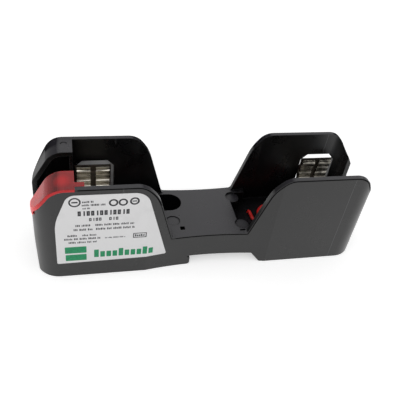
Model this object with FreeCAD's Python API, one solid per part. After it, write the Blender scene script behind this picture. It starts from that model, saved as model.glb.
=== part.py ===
import FreeCAD, Part
import math
import os
from FreeCAD import Vector

# DIN rail fuse block: two U-shaped end housings on one moulded base.
# X runs along the block, the labelled face looks towards -Y, +Z is up.
# The origin is the middle of the underside of the base. All sizes are in millimetres.

# Fuse that the block is made for
fuse_radius = 13.5
fuse_axis_z = 36.0
fuse_clip_spacing = 124.9
fuse_side_room = 4.8

# Base moulding
height = 57.8
left_end_run = 30.4
right_end_run = 21.7
wall = 2.4
floor_thickness = 2.4
corner_radius = 12.0
waist_inset = 2.5
waist_run = 67.0
plateau_z = 21.2
pocket_floor_z = 13.0
gap_at_floor = 40.4
knee_drop = 7.6
knee_angle = 73.6
brow_angle = 48.0
end_corner_drop = 17.3
end_slope_angle = 60.0
end_draft = 1.4
brow_round = 9.5
knee_round = 22.0
end_top_round = 10.0
end_round = 4.0
edge_round = 0.8
groove_drop = 0.45
groove_width = 0.35
groove_depth = 0.25
cut_margin = 1.0

# Rail slot under the base, for a 35 mm top hat rail
rail_width = 35.0
rail_thickness = 1.0
rail_play = 0.5
rail_roof_z = 6.3
rail_centre_x = 7.3
hook_depth = 1.3
hook_tip_round = 0.39
slot_ramp = 5.3

# Openings in the housings
hood_gap = 15.2
wire_gap = 24.2
window_width = 20.0
window_top_drop = 13.7
window_sill_z = 25.0
window_chamfer = 3.4
left_window_offset = 1.1
right_window_offset = 2.55

# Details of the middle
well_width = 13.4
well_end_x = -10.7
well_length = 12.8
well_centre_y = 8.6
well_floor_z = 4.0
screw_hole_radius = 2.65
right_pocket_reach = 2.8
left_pocket_inset = 6.8
pocket_side_ledge = 4.1
pad_radius = 3.8
pad_centre_share_x = 0.55
pad_centre_share_y = 0.85
pad_drop = 0.9
faint_pad_x = -17.7
faint_pad_y = -6.3
faint_pad_drop = 0.4
vent_side = 2.5
vent_x = -13.6
vent_y = -12.2
slit_length = 3.0
slit_width = 1.1
slit_x = 18.6
slit_y = -16.0
slit_depth = 2.0

# Underside
rib_thickness = 1.6
rib_lift = 0.6
side_rib_y = 13.0
left_rib_insets = (42.5, 18.5)
right_rib_insets = (46.5, 16.5)

# Clips
clip_width = 16.6
clip_sheet = 1.2
clip_seat_z = 17.4
clip_bend = 2.5
clip_arm_angle = 82.0
clip_kink_radius = 2.5
clip_lip_radius = 2.4
clip_lip_flat = 0.5
clip_hug_below = 35.0
clip_hug_above = 22.0
clip_lip_turn = 58.0
finger_gap = 2.9
finger_root_z = 26.5
strap_width = 11.0
clip_spring_sheet = 0.8
clip_spring_gap = 0.15
clip_spring_rise = 0.3
spring_hug_share = 0.5
clip_spring_margin = 0.8
seat_side_inset = 1.3
seat_margin = 4.0

# Lugs
lug_length = 12.0
lug_width = 14.0
lug_height = 17.4
lug_inset = 2.0
lug_edge = 0.8
wire_bore_radius = 4.6
wire_bore_floor = 2.2
lug_thread_radius = 3.0
thread_clearance = 0.06
lug_screw_length = 7.6
lug_screw_slot = 1.2
lug_screw_slot_depth = 1.8
pressure_pad_thickness = 1.2
pressure_pad_rise = 0.2
screw_stack_gap = 0.1
stake_radius = 2.2
stake_length = 2.0
stake_clearance = 0.1

# Clip screws, lead tags and rejection plate
clip_screw_head_radius = 3.4
clip_screw_head_height = 1.6
clip_screw_shank_radius = 1.9
clip_screw_length = 7.0
clip_screw_slot = 0.9
clip_screw_slot_depth = 0.8
screw_fit = 0.05
tag_radius = 3.6
tag_sheet = 0.6
barrel_radius = 1.5
barrel_length = 4.0
barrel_start = 4.6
lead_grip = 3.0
rejection_sheet = 1.5
rejection_bore_inset = 1.3
rejection_side_inset = 1.5
rejection_top_z = 30.0
rejection_root = 2.0
lead_notch_width = 4.4
lead_notch_height = 5.0

# Indicator
cover_sheet = 0.6
cover_lap = 0.8
cover_drop = 20.1
tongue_length = 4.4
tongue_width = 2.9
tongue_depth = 1.1
barrier_thickness = 1.6
barrier_y = 9.5
barrier_gap = 1.0
board_length = 11.0
board_height = 16.0
board_thickness = 1.2
board_gap = 1.0
board_side_gap = 0.2
board_drop = 25.3
board_fit = 0.1
board_rib = 2.0
board_rib_overlap = 1.2
board_rib_grip = 7.5
lamp_radius = 2.5
lamp_height = 6.4
lamp_inset = 5.4
lamp_rise = 14.0
lamp_leg_radius = 0.3
resistor_radius = 1.25
resistor_length = 6.0
resistor_rise = 10.1

# Leads
lead_diameter = 1.8
lead_hole_radius = 1.6
lead_duct_radius = 1.5
lead_duct_y = 6.6
lead_duct_z = 9.65
lead_rise_inset = 9.1
lead_duct_approach = 7.3
long_lead_inset = 4.9
long_lead_rise = 4.0
short_lead_reach = 7.3
short_lead_rise = 1.3

# Rail latch
latch_half_width = 7.0
latch_bottom_z = 1.5
latch_thickness = 3.4
latch_clearance = 0.3
latch_grip = 1.5
latch_nose_run = 4.2
latch_nose_edge = 0.8
latch_end_gap = 0.2
latch_slot_length = 3.2
latch_slot_width = 7.0
latch_slot_inset = 3.0
latch_window_inset = 24.0
guide_wall = 1.6
guide_lip = 1.1
spring_wire = 0.7
spring_radius = 2.3
spring_turns = 6
spring_room = 14.0
spring_post = 2.6
spring_post_half_width = 2.4

# Labels
label_sheet = 0.2
label_left_inset = 10.5
label_bottom_z = 9.8
label_right_rise = 1.0
label_top_drop = 3.3
label_right_inset = 2.6
label_top_right_inset = 6.2
label_slant_run = 6.2
label_slant_drop = 16.8
label_left_round = 5.0
label_slant_round = 30.0
label_right_round = 8.0
label_small_round = 0.8

# Worked-out positions
length = left_end_run + fuse_clip_spacing + right_end_run
width = 2 * (fuse_radius + fuse_side_room + wall)
waist_width = width - 2 * waist_inset
half = length / 2
half_width = width / 2
inner_half_width = half_width - wall
plateau_half = gap_at_floor / 2
knee_z = height - knee_drop
end_corner_z = height - end_corner_drop
window_top_z = height - window_top_drop
knee_x = plateau_half + (knee_z - plateau_z) / math.tan(math.radians(knee_angle))
slot_left = rail_centre_x - rail_width / 2 - rail_play / 2
slot_right = rail_centre_x + rail_width / 2 + rail_play / 2
rail_edge_x = rail_centre_x + rail_width / 2
hook_x = slot_left + hook_depth
hook_top_z = rail_roof_z - rail_thickness - rail_play / 2
pocket_lid = pocket_floor_z - floor_thickness
plateau_lid = plateau_z - floor_thickness
right_pocket_x = plateau_half - right_pocket_reach
left_pocket_x = -plateau_half - left_pocket_inset
pocket_half_width = inner_half_width - pocket_side_ledge
left_clip_x = -half + left_end_run
right_clip_x = half - right_end_run
left_window_x = left_clip_x + left_window_offset
right_window_x = right_clip_x + right_window_offset
hood_y = hood_gap / 2
left_lug_x = -half + lug_inset + lug_length / 2 + wall
right_lug_x = half - lug_inset - lug_length / 2
strap_top_z = clip_seat_z + clip_sheet
lug_top_z = strap_top_z + lug_height
wire_axis_z = strap_top_z + wire_bore_floor + wire_bore_radius
pad_bottom_z = wire_axis_z + wire_bore_radius + pressure_pad_rise
lug_screw_bottom_z = pad_bottom_z + pressure_pad_thickness + screw_stack_gap
spring_drop = clip_spring_gap + clip_spring_sheet
clip_half = clip_width / 2
clip_spring_half = clip_half + clip_spring_margin
hood_x = left_clip_x - clip_spring_half - barrier_gap
barrel_z = strap_top_z + barrel_radius + screw_fit
well_centre_x = well_end_x - well_width / 2
well_start_x = well_end_x - well_length
seat_half_width = fuse_radius - seat_side_inset
rejection_x = right_clip_x - clip_spring_half - clip_spring_margin - rejection_sheet
rejection_half_width = fuse_radius - rejection_side_inset
cover_end_z = height - cover_drop
tongue_inner_y = inner_half_width - tongue_width
board_front_y = -inner_half_width + board_gap
board_back_y = board_front_y + board_thickness
board_right_x = hood_x - board_side_gap
board_left_x = board_right_x - board_length
board_bottom_z = height - board_drop
board_rib_top_z = board_bottom_z + board_rib_grip
lamp_x = board_left_x + lamp_inset
lamp_base_z = board_bottom_z + lamp_rise
resistor_z = board_bottom_z + resistor_rise
latch_top_z = latch_bottom_z + latch_thickness
latch_tip_x = rail_edge_x - latch_grip
latch_end_x = half - latch_end_gap
latch_window_x = slot_right + latch_window_inset
post_x = latch_window_x + spring_room
latch_axis_z = latch_bottom_z + latch_thickness / 2
lead_radius = lead_diameter / 2
lead_rise_x = plateau_half + lead_rise_inset
pad_x = right_pocket_x + pad_radius * pad_centre_share_x
pad_y = pocket_half_width - pad_radius * pad_centre_share_y
label_left_x = -half + label_left_inset
label_right_x = -plateau_half - label_right_inset
label_top_z = height - label_top_drop
label_top_right_x = -knee_x - label_top_right_inset


def round_corners(corners):
    """Closed flat wire in XY through the corners, each given as x, y and radius."""
    count = len(corners)
    entry = []
    exits = []
    middles = []
    for index in range(count):
        x, y, radius = corners[index]
        here = Vector(x, y, 0)
        before = Vector(corners[index - 1][0], corners[index - 1][1], 0) - here
        after = Vector(corners[(index + 1) % count][0], corners[(index + 1) % count][1], 0) - here
        before.normalize()
        after.normalize()
        half_angle = before.getAngle(after) / 2
        run = radius / math.tan(half_angle)
        start = here + before * run
        end = here + after * run
        bisector = before + after
        if radius > 0:
            bisector.normalize()
            middles.append(here + bisector * (radius / math.sin(half_angle) - radius))
        else:
            middles.append(None)
        entry.append(start)
        exits.append(end)
    edges = []
    for index in range(count):
        if middles[index] is not None:
            edges.append(Part.Arc(entry[index], middles[index], exits[index]).toShape())
        following = entry[(index + 1) % count]
        if (following - exits[index]).Length > 1e-6:
            edges.append(Part.LineSegment(exits[index], following).toShape())
    return Part.Wire(edges)


def box(x0, x1, y0, y1, z0, z1):
    """Rectangular block between two corners."""
    return Part.makeBox(x1 - x0, y1 - y0, z1 - z0, Vector(x0, y0, z0))


def post(x, y, radius, z0, z1):
    """Upright cylinder."""
    return Part.makeCylinder(radius, z1 - z0, Vector(x, y, z0))


def side_prism(corners, y0, y1):
    """Outline in the XZ plane, pushed from y0 to y1."""
    wire = round_corners(corners)
    wire.rotate(Vector(0, 0, 0), Vector(1, 0, 0), 90)
    wire.translate(Vector(0, y0, 0))
    return Part.Face(wire).extrude(Vector(0, y1 - y0, 0))


def plan_wire(inset):
    """The block seen from above: round ends and a gently waisted middle, moved inwards by inset."""
    sag = (width - waist_width) / 2
    waist_radius = ((waist_run / 2) ** 2 + sag ** 2) / (2 * sag)
    centre_y = waist_width / 2 + waist_radius
    radius = waist_radius + inset
    side = half_width - inset
    reach = math.sqrt(radius ** 2 - (centre_y - side) ** 2)
    middle = waist_width / 2 - inset
    end = half - inset
    round_end = corner_radius - inset
    diagonal = round_end * (1 - math.sqrt(0.5))
    edges = []
    for turn in (0, 1):
        s = 1 - 2 * turn
        start = Vector(-reach * s, -side * s, 0)
        waist = Vector(0, -middle * s, 0)
        finish = Vector(reach * s, -side * s, 0)
        corner_a = Vector((end - round_end) * s, -side * s, 0)
        corner_a_mid = Vector((end - diagonal) * s, -(side - diagonal) * s, 0)
        corner_a_end = Vector(end * s, -(side - round_end) * s, 0)
        corner_b = Vector(end * s, (side - round_end) * s, 0)
        corner_b_mid = Vector((end - diagonal) * s, (side - diagonal) * s, 0)
        corner_b_end = Vector((end - round_end) * s, side * s, 0)
        opposite = Vector(reach * s, side * s, 0)
        edges.append(Part.Arc(start, waist, finish).toShape())
        edges.append(Part.LineSegment(finish, corner_a).toShape())
        edges.append(Part.Arc(corner_a, corner_a_mid, corner_a_end).toShape())
        edges.append(Part.LineSegment(corner_a_end, corner_b).toShape())
        edges.append(Part.Arc(corner_b, corner_b_mid, corner_b_end).toShape())
        edges.append(Part.LineSegment(corner_b_end, opposite).toShape())
    return Part.Wire(edges)


def plan_solid(inset, z0, z1):
    """Upright solid of the plan outline."""
    face = Part.Face(plan_wire(inset))
    face.translate(Vector(0, 0, z0))
    return face.extrude(Vector(0, 0, z1 - z0))


def crown_corners(side, grow):
    """Upper side outline of one housing, from its knee to its end; side is -1 left, 1 right."""
    brow = math.radians(brow_angle)
    knee = math.radians(knee_angle)
    slope = math.radians(end_slope_angle)
    top = height + grow
    end = half + grow
    end_z = end_corner_z + grow * math.tan((math.pi / 2 - slope) / 2)
    end_top = end - (top - end_z) / math.tan(slope)
    knee_line_x = knee_x - grow / math.sin(knee)
    brow_line_x = knee_x - grow / math.sin(brow)
    rise = (knee_line_x - brow_line_x) / (1 / math.tan(brow) - 1 / math.tan(knee))
    knee_now_x = knee_line_x + rise / math.tan(knee)
    brow_now_x = knee_now_x + (top - knee_z - rise) / math.tan(brow)
    return [
        (side * knee_now_x, knee_z + rise, knee_round + grow),
        (side * brow_now_x, top, brow_round + grow),
        (side * end_top, top, end_top_round + grow),
        (side * end, end_z, end_round + grow),
    ]


def side_outline():
    """Side view of the base, with the rail slot cut in from below."""
    corners = [
        (-half + end_draft, 0, edge_round),
        (hook_x, 0, hook_depth),
        (hook_x, hook_top_z, hook_tip_round),
        (slot_left, hook_top_z, 0),
        (slot_left, rail_roof_z, 0),
        (slot_right, rail_roof_z, edge_round),
        (slot_right + slot_ramp, 0, edge_round * 2),
        (half - end_draft, 0, edge_round),
        (half, plateau_z, end_round),
    ]
    corners += reversed(crown_corners(1, 0))
    corners += [(plateau_half, plateau_z, edge_round * 2), (-plateau_half, plateau_z, edge_round * 2)]
    corners += crown_corners(-1, 0)
    corners.append((-half, plateau_z, end_round))
    return corners


def under_crown(grow):
    """Everything below the left housing's crown, moved outwards by grow."""
    corners = [(0, 0, 0), (0, plateau_z, 0), (-plateau_half, plateau_z, 0)]
    corners += crown_corners(-1, grow)
    corners += [(-half - grow, 0, 0)]
    return side_prism(corners, -width, width)


def below_rim(drop):
    """Everything that lies deeper than drop below the upper edges of the side walls."""
    knee = math.radians(knee_angle)
    foot = half - drop
    step_z = plateau_z - drop
    step_x = knee_x + drop / math.sin(knee) + (step_z - knee_z) / math.tan(knee)
    corners = [(-foot, 0, 0), (foot, 0, 0)]
    corners += reversed(crown_corners(1, -drop))
    corners += [(step_x, step_z, 0), (-step_x, step_z, 0)]
    corners += crown_corners(-1, -drop)
    return side_prism(corners, -width, width)


def rim_groove():
    """Fine groove along the outside, just under the upper edges."""
    band = below_rim(groove_drop).cut(below_rim(groove_drop + groove_width))
    low_z = plateau_z - wall
    skin = plan_solid(-wall, low_z, height).cut(plan_solid(groove_depth, low_z, height))
    ends = [box(-half - wall, -half + wall, -width, width, 0, end_corner_z),
            box(half - wall, half + wall, -width, width, 0, end_corner_z)]
    return band.common(skin).cut(ends)


def outer_solid():
    """The moulding before anything is hollowed out."""
    return plan_solid(0, -1, height + 1).common(side_prism(side_outline(), -width, width))


def window_prism(centre_x):
    """Window with clipped upper corners, through the back wall only."""
    left = centre_x - window_width / 2
    right = centre_x + window_width / 2
    corners = [
        (left, window_sill_z, 0),
        (right, window_sill_z, 0),
        (right, window_top_z - window_chamfer, 0),
        (right - window_chamfer, window_top_z, 0),
        (left + window_chamfer, window_top_z, 0),
        (left, window_top_z - window_chamfer, 0),
    ]
    return side_prism(corners, inner_half_width - wall, half_width + 1)


def upper_hollow():
    """Room inside the housings above the pockets, less the hood kept at the left back corner."""
    top = height + 1
    above = plan_solid(wall, plateau_z, top)
    pockets = plan_solid(wall, pocket_floor_z, plateau_z)
    left_part = box(-half, left_pocket_x, -half_width, half_width, pocket_floor_z, plateau_z)
    right_part = box(right_pocket_x, half, -half_width, half_width, pocket_floor_z, plateau_z)
    right_part = right_part.cut(Part.makeCompound([
        box(right_pocket_x, plateau_half + wall * 3, -half_width, -pocket_half_width, 0, plateau_z),
        box(right_pocket_x, plateau_half + wall * 3, pocket_half_width, half_width, 0, plateau_z),
    ]))
    hollow = above.fuse([pockets.common(left_part), pockets.common(right_part)])
    hood_zone = box(-half, hood_x, hood_y, half_width, clip_seat_z, top)
    return hollow.cut(hood_zone.cut(under_crown(-wall)))


def well_shape(grow, z0, z1):
    """Long hole with a round end, over the mounting screw."""
    radius = well_width / 2 + grow
    trench = box(well_start_x - grow, well_centre_x, well_centre_y - radius, well_centre_y + radius, z0, z1)
    return trench.fuse(post(well_centre_x, well_centre_y, radius, z0, z1))


def lower_hollow():
    """Room under the floors, open downwards."""
    inside = plan_solid(wall, -1, plateau_lid)
    foot_end = slot_left - wall
    ramp_end = slot_right + slot_ramp + wall
    pocket_wall = left_pocket_x + wall
    middle = inside.common(box(foot_end + wall * 2, right_pocket_x - wall, -half_width, half_width,
                               -1, plateau_lid))
    left_low = inside.common(box(-half, foot_end, -half_width, half_width, -1, pocket_lid))
    left_high = inside.common(box(pocket_wall, foot_end, -half_width, half_width, pocket_lid, plateau_lid))
    right = inside.common(box(ramp_end, half, -half_width, half_width, -1, pocket_lid))
    return middle.fuse([left_low, left_high, right])


def cross_rib(x, z0):
    """Rib across the underside of a foot."""
    reach = inner_half_width + wall / 2
    return box(x - rib_thickness / 2, x + rib_thickness / 2, -reach, reach, z0, pocket_lid + wall / 2)


def latch_guides():
    """Walls beside the latch, with lips that carry it from below."""
    outer = latch_half_width + latch_clearance
    start = slot_right + slot_ramp
    pieces = []
    for side in (-1, 1):
        rail = box(start, half - wall, outer, outer + guide_wall, 0, pocket_lid + wall / 2)
        lip = box(start + wall * 2, half - wall * 3.5, outer - guide_lip, outer + guide_wall, 0,
                  latch_bottom_z - latch_clearance)
        guide = rail.fuse(lip)
        if side < 0:
            guide = guide.mirror(Vector(0, 0, 0), Vector(0, 1, 0))
        pieces.append(guide)
    return pieces


def base_ribs():
    """Ribs, screw boss and latch guides that stiffen the underside."""
    pieces = []
    for y in (-side_rib_y, side_rib_y):
        pieces.append(box(slot_left, right_pocket_x, y - rib_thickness / 2, y + rib_thickness / 2,
                          rail_roof_z, plateau_lid + wall / 2))
    for inset in left_rib_insets:
        pieces.append(cross_rib(-half + inset, rib_lift))
    for inset in right_rib_insets:
        pieces.append(cross_rib(half - inset, latch_top_z + latch_clearance))
    pieces += latch_guides()
    pieces.append(well_shape(wall * 0.75, 0, plateau_lid + wall / 2))
    pieces.append(box(post_x, post_x + spring_post, -spring_post_half_width, spring_post_half_width,
                      latch_bottom_z, pocket_lid + wall / 2))
    return pieces


def base_seats():
    """Raised seats, pads and ribs inside the housings."""
    left_end = left_clip_x + clip_half + seat_margin / 2
    right_start = right_clip_x - clip_half - seat_margin
    pieces = [
        box(-half + wall / 2, left_end, -seat_half_width, seat_half_width, pocket_lid, clip_seat_z),
        box(right_start, half - wall / 2, -seat_half_width, seat_half_width, pocket_lid, clip_seat_z),
        box(hood_x - barrier_thickness, hood_x, barrier_y, half_width, pocket_lid, height - wall / 2),
    ]
    for y in (-pad_y, pad_y):
        pieces.append(post(pad_x, y, pad_radius, pocket_lid, plateau_z - pad_drop))
    rib_inner_y = board_back_y + board_fit + board_rib_overlap
    for x in (board_left_x + board_rib_overlap - board_rib, board_right_x - board_rib_overlap):
        pieces.append(box(x, x + board_rib, -half_width, rib_inner_y, pocket_lid, board_rib_top_z))
    return pieces


def base_cuts():
    """Wire entries, windows, screw well, lead ducts and the latch's way through the foot."""
    cuts = [
        box(-half - cut_margin, -half + wall, -hood_y, hood_y, clip_seat_z, height + cut_margin),
        box(half - wall * 2.2, half + cut_margin, -wire_gap / 2, wire_gap / 2,
            clip_seat_z, height + cut_margin),
        window_prism(left_window_x),
        window_prism(right_window_x),
        well_shape(0, well_floor_z, plateau_z + 1),
        post(well_centre_x, well_centre_y, screw_hole_radius, -1, well_floor_z),
        post(faint_pad_x, faint_pad_y, pad_radius, plateau_z - faint_pad_drop, plateau_z + 1),
        box(vent_x - vent_side / 2, vent_x + vent_side / 2, vent_y - vent_side / 2, vent_y + vent_side / 2,
            rail_roof_z, plateau_z + 1),
        box(slit_x - slit_length / 2, slit_x + slit_length / 2,
            slit_y - slit_width / 2, slit_y + slit_width / 2, plateau_z - slit_depth, plateau_z + 1),
    ]
    for y in (-pad_y, pad_y):
        cuts.append(post(pad_x, y, pad_radius, plateau_z - pad_drop, plateau_z + 1))
    reach = latch_half_width + latch_clearance
    tunnel_top = latch_top_z + latch_clearance
    cuts.append(box(slot_right - wall, slot_right + slot_ramp + wall * 2, -reach, reach, -1, tunnel_top))
    cuts.append(box(half - wall * 2, half + 1, -reach, reach, -1, tunnel_top))
    for x in (left_clip_x, right_clip_x):
        recess = clip_spring_half + board_fit
        side = spring_base_reach() + board_fit
        cuts.append(box(x - recess, x + recess, -side, side, clip_seat_z - spring_drop, clip_seat_z))
        cuts.append(post(x, 0, clip_screw_shank_radius + screw_fit,
                         strap_top_z - clip_screw_length - screw_fit, clip_seat_z))
    for x in (left_lug_x, right_lug_x):
        cuts.append(post(x, 0, stake_radius + stake_clearance, clip_seat_z - stake_length, clip_seat_z))
    cuts.append(box(rejection_x - screw_fit, rejection_x + rejection_sheet + screw_fit,
                    -rejection_half_width - screw_fit, rejection_half_width + screw_fit,
                    clip_seat_z - rejection_root, clip_seat_z))
    slot_y0 = board_front_y - board_fit
    slot_y1 = board_back_y + board_fit
    cuts.append(box(board_left_x - board_fit, board_right_x + board_fit, slot_y0, slot_y1,
                    board_bottom_z, board_rib_top_z + 1))
    cuts += lead_ducts()
    cuts.append(rim_groove())
    return cuts


def lead_ducts():
    """Round holes that let the long lead pass under the middle into the right pocket."""
    ducts = []
    pocket_side = (left_pocket_x - wall * 2, left_pocket_x + wall * 2, lead_hole_radius)
    foot_side = (slot_left - wall * 1.5, slot_left + wall * 1.5, lead_hole_radius * 1.2)
    for start, end, radius in (pocket_side, foot_side):
        first, second = lead_at(start), lead_at(end)
        ducts.append(Part.makeCylinder(radius, (second - first).Length, first, second - first))
    duct_start = Vector(right_pocket_x - wall * 2, lead_duct_y, lead_duct_z)
    ducts.append(Part.makeCylinder(lead_duct_radius, lead_rise_x - right_pocket_x + wall * 2,
                                   duct_start, Vector(1, 0, 0)))
    ducts.append(post(lead_rise_x, lead_duct_y, lead_duct_radius, lead_duct_z, plateau_lid))
    ducts.append(Part.makeSphere(lead_duct_radius, Vector(lead_rise_x, lead_duct_y, lead_duct_z)))
    return ducts


def make_base():
    """The one-piece black moulding."""
    outer = outer_solid()
    body = outer.cut(upper_hollow().fuse(lower_hollow()))
    added = Part.makeCompound(base_ribs() + base_seats())
    body = body.fuse([piece.common(outer) for piece in added.Solids])
    body = body.cut(base_cuts())
    return body.removeSplitter()


def bent_strip(start, heading, moves, sheet):
    """Closed outline of a bent sheet in the YZ plane; the sheet lies to the right of the path."""
    angle = math.radians(heading)
    here = Vector(start[0], start[1], 0)
    inner = []
    outer = []
    for kind, amount, radius in moves:
        forward = Vector(math.cos(angle), math.sin(angle), 0)
        right = Vector(forward.y, -forward.x, 0)
        if kind == "line":
            there = here + forward * amount
            inner.append(Part.LineSegment(here, there))
            outer.append(Part.LineSegment(here + right * sheet, there + right * sheet))
            here = there
            continue
        sign = 1 if kind == "left" else -1
        centre = here - right * (radius * sign)
        spokes = []
        for share in (0, 0.5, 1):
            turned = angle + sign * math.radians(amount) * share
            spokes.append(Vector(math.sin(turned), -math.cos(turned), 0))
        near = [centre + spoke * (radius * sign) for spoke in spokes]
        far = [centre + spoke * (radius * sign + sheet) for spoke in spokes]
        inner.append(Part.Arc(near[0], near[1], near[2]))
        outer.append(Part.Arc(far[0], far[1], far[2]))
        angle += sign * math.radians(amount)
        here = near[2]
    edges = [curve.toShape() for curve in inner]
    edges.append(Part.LineSegment(inner[-1].EndPoint, outer[-1].EndPoint).toShape())
    edges += [curve.toShape() for curve in outer]
    edges.append(Part.LineSegment(inner[0].StartPoint, outer[0].StartPoint).toShape())
    return Part.Wire(Part.__sortEdges__(edges))


def strip_solid(wire, x0, x1):
    """Half of a U-shaped sheet part, pushed along X and mirrored to the other side."""
    wire.rotate(Vector(0, 0, 0), Vector(1, 0, 0), 90)
    wire.rotate(Vector(0, 0, 0), Vector(0, 0, 1), 90)
    wire.translate(Vector(x0, 0, 0))
    half_part = Part.Face(wire).extrude(Vector(x1 - x0, 0, 0))
    other = half_part.mirror(Vector(0, 0, 0), Vector(0, 1, 0))
    return half_part.fuse(other).removeSplitter()


def arm_layout(offset, base_z):
    """Half width of a clip's base and the straight runs of its arm, for a sheet that far outside the fuse."""
    hug = math.radians(clip_hug_below)
    arm = math.radians(clip_arm_angle)
    radius = fuse_radius + offset
    touch_y = radius * math.cos(hug)
    touch_z = fuse_axis_z - radius * math.sin(hug)
    kink_turn = arm - (math.pi / 2 - hug)
    kink_run = (clip_kink_radius - offset) * math.tan(kink_turn / 2)
    kink_y = touch_y - kink_run * math.sin(hug)
    kink_z = touch_z - kink_run * math.cos(hug)
    foot_y = kink_y - (kink_z - base_z) / math.tan(arm)
    bend_run = (clip_bend + offset) * math.tan(arm / 2)
    arm_run = (kink_z - base_z) / math.sin(arm) - bend_run - kink_run
    return foot_y, bend_run, arm_run, math.degrees(kink_turn)


def spring_base_reach():
    """Half width of the clip spring's base, out to the outside of its bends."""
    foot_y = arm_layout(clip_sheet + clip_spring_gap, clip_seat_z - clip_spring_gap)[0]
    return foot_y + clip_spring_sheet


def make_clip(centre_x, lug_x):
    """Two-finger fuse clip bent from one sheet, with its strap out to the lug."""
    foot_y, bend_run, arm_run, kink_turn = arm_layout(0, strap_top_z)
    moves = [
        ("line", foot_y - bend_run, 0),
        ("left", clip_arm_angle, clip_bend),
        ("line", arm_run, 0),
        ("right", kink_turn, clip_kink_radius),
        ("left", clip_hug_below + clip_hug_above, fuse_radius),
        ("right", clip_lip_turn, clip_lip_radius),
        ("line", clip_lip_flat, 0),
    ]
    wire = bent_strip((0, strap_top_z), 0, moves, clip_sheet)
    clip = strip_solid(wire, centre_x - clip_half, centre_x + clip_half)
    far_x = lug_x + math.copysign(lug_length / 2, lug_x)
    strap = box(min(centre_x, far_x), max(centre_x, far_x), -strap_width / 2, strap_width / 2,
                clip_seat_z, strap_top_z)
    clip = clip.fuse(strap)
    slot = box(centre_x - finger_gap / 2, centre_x + finger_gap / 2, -width, width, finger_root_z, height)
    screw_hole = post(centre_x, 0, clip_screw_shank_radius + stake_clearance,
                      clip_seat_z - 1, strap_top_z + 1)
    stake_hole = post(lug_x, 0, stake_radius + stake_clearance, clip_seat_z - 1, strap_top_z + 1)
    return clip.cut([slot, screw_hole, stake_hole]).removeSplitter()


def clip_top_z():
    """Highest point of the clip's lips."""
    hug = math.radians(clip_hug_above)
    lip_turn = math.radians(clip_lip_turn)
    centre_z = fuse_axis_z + (fuse_radius + clip_lip_radius) * math.sin(hug)
    lean = hug + math.pi / 2 - lip_turn
    return centre_z + clip_lip_radius * math.cos(lean) + clip_lip_flat * math.sin(lean)


def make_clip_spring(centre_x):
    """Steel spring that goes under the clip and backs both its arms."""
    offset = clip_sheet + clip_spring_gap
    base_z = clip_seat_z - clip_spring_gap
    foot_y, bend_run, arm_run, kink_turn = arm_layout(offset, base_z)
    above = math.degrees(math.acos(1 - (1 - math.cos(math.radians(clip_hug_above))) * spring_hug_share))
    hug_top_z = fuse_axis_z + (fuse_radius + offset) * math.sin(math.radians(above))
    turn_rise = clip_lip_radius * math.sin(math.radians(above))
    moves = [
        ("line", foot_y - bend_run, 0),
        ("left", clip_arm_angle, clip_bend + offset),
        ("line", arm_run, 0),
        ("right", kink_turn, clip_kink_radius - offset),
        ("left", clip_hug_below + above, fuse_radius + offset),
        ("right", above, clip_lip_radius),
        ("line", clip_top_z() + clip_spring_rise - hug_top_z - turn_rise, 0),
    ]
    wire = bent_strip((0, base_z), 0, moves, clip_spring_sheet)
    spring = strip_solid(wire, centre_x - clip_spring_half, centre_x + clip_spring_half)
    screw_hole = post(centre_x, 0, clip_screw_shank_radius + stake_clearance,
                      clip_seat_z - wall, clip_seat_z + 1)
    return spring.cut(screw_hole)


def make_lug(centre_x):
    """Box lug with a wire bore along X, a thread from above and a stake through the strap."""
    x0 = centre_x - lug_length / 2
    block = box(x0, x0 + lug_length, -lug_width / 2, lug_width / 2, strap_top_z, lug_top_z)
    upright = [edge for edge in block.Edges if abs(edge.tangentAt(0).z) > 0.9]
    block = block.makeFillet(lug_edge, upright)
    stake = post(centre_x, 0, stake_radius, clip_seat_z - stake_length + stake_clearance, strap_top_z)
    bore = Part.makeCylinder(wire_bore_radius, lug_length + 2 * cut_margin,
                             Vector(x0 - cut_margin, 0, wire_axis_z), Vector(1, 0, 0))
    thread = post(centre_x, 0, lug_thread_radius, wire_axis_z, lug_top_z + cut_margin)
    return block.fuse(stake).cut([bore, thread])


def make_lug_screw(centre_x):
    """Headless slotted set screw, with a chamfered lower end."""
    radius = lug_thread_radius - thread_clearance
    top = lug_screw_bottom_z + lug_screw_length
    screw = post(centre_x, 0, radius, lug_screw_bottom_z, top)
    screw = screw.makeChamfer(lug_edge * 0.6, screw.Faces[0].Edges[0:1] + screw.Faces[0].Edges[2:3])
    slot = box(centre_x - radius, centre_x + radius, -lug_screw_slot / 2, lug_screw_slot / 2,
               top - lug_screw_slot_depth, top + 1)
    return screw.cut(slot)


def make_pressure_pad(centre_x):
    """Round pad that the set screw pushes onto the wire, with a chamfered lower edge."""
    radius = lug_thread_radius - thread_clearance
    pad = post(centre_x, 0, radius, pad_bottom_z, pad_bottom_z + pressure_pad_thickness)
    lower = [edge for edge in pad.Edges if abs(edge.CenterOfMass.z - pad_bottom_z) < 0.01 and edge.Closed]
    return pad.makeChamfer(lug_edge * 0.4, lower)


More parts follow.
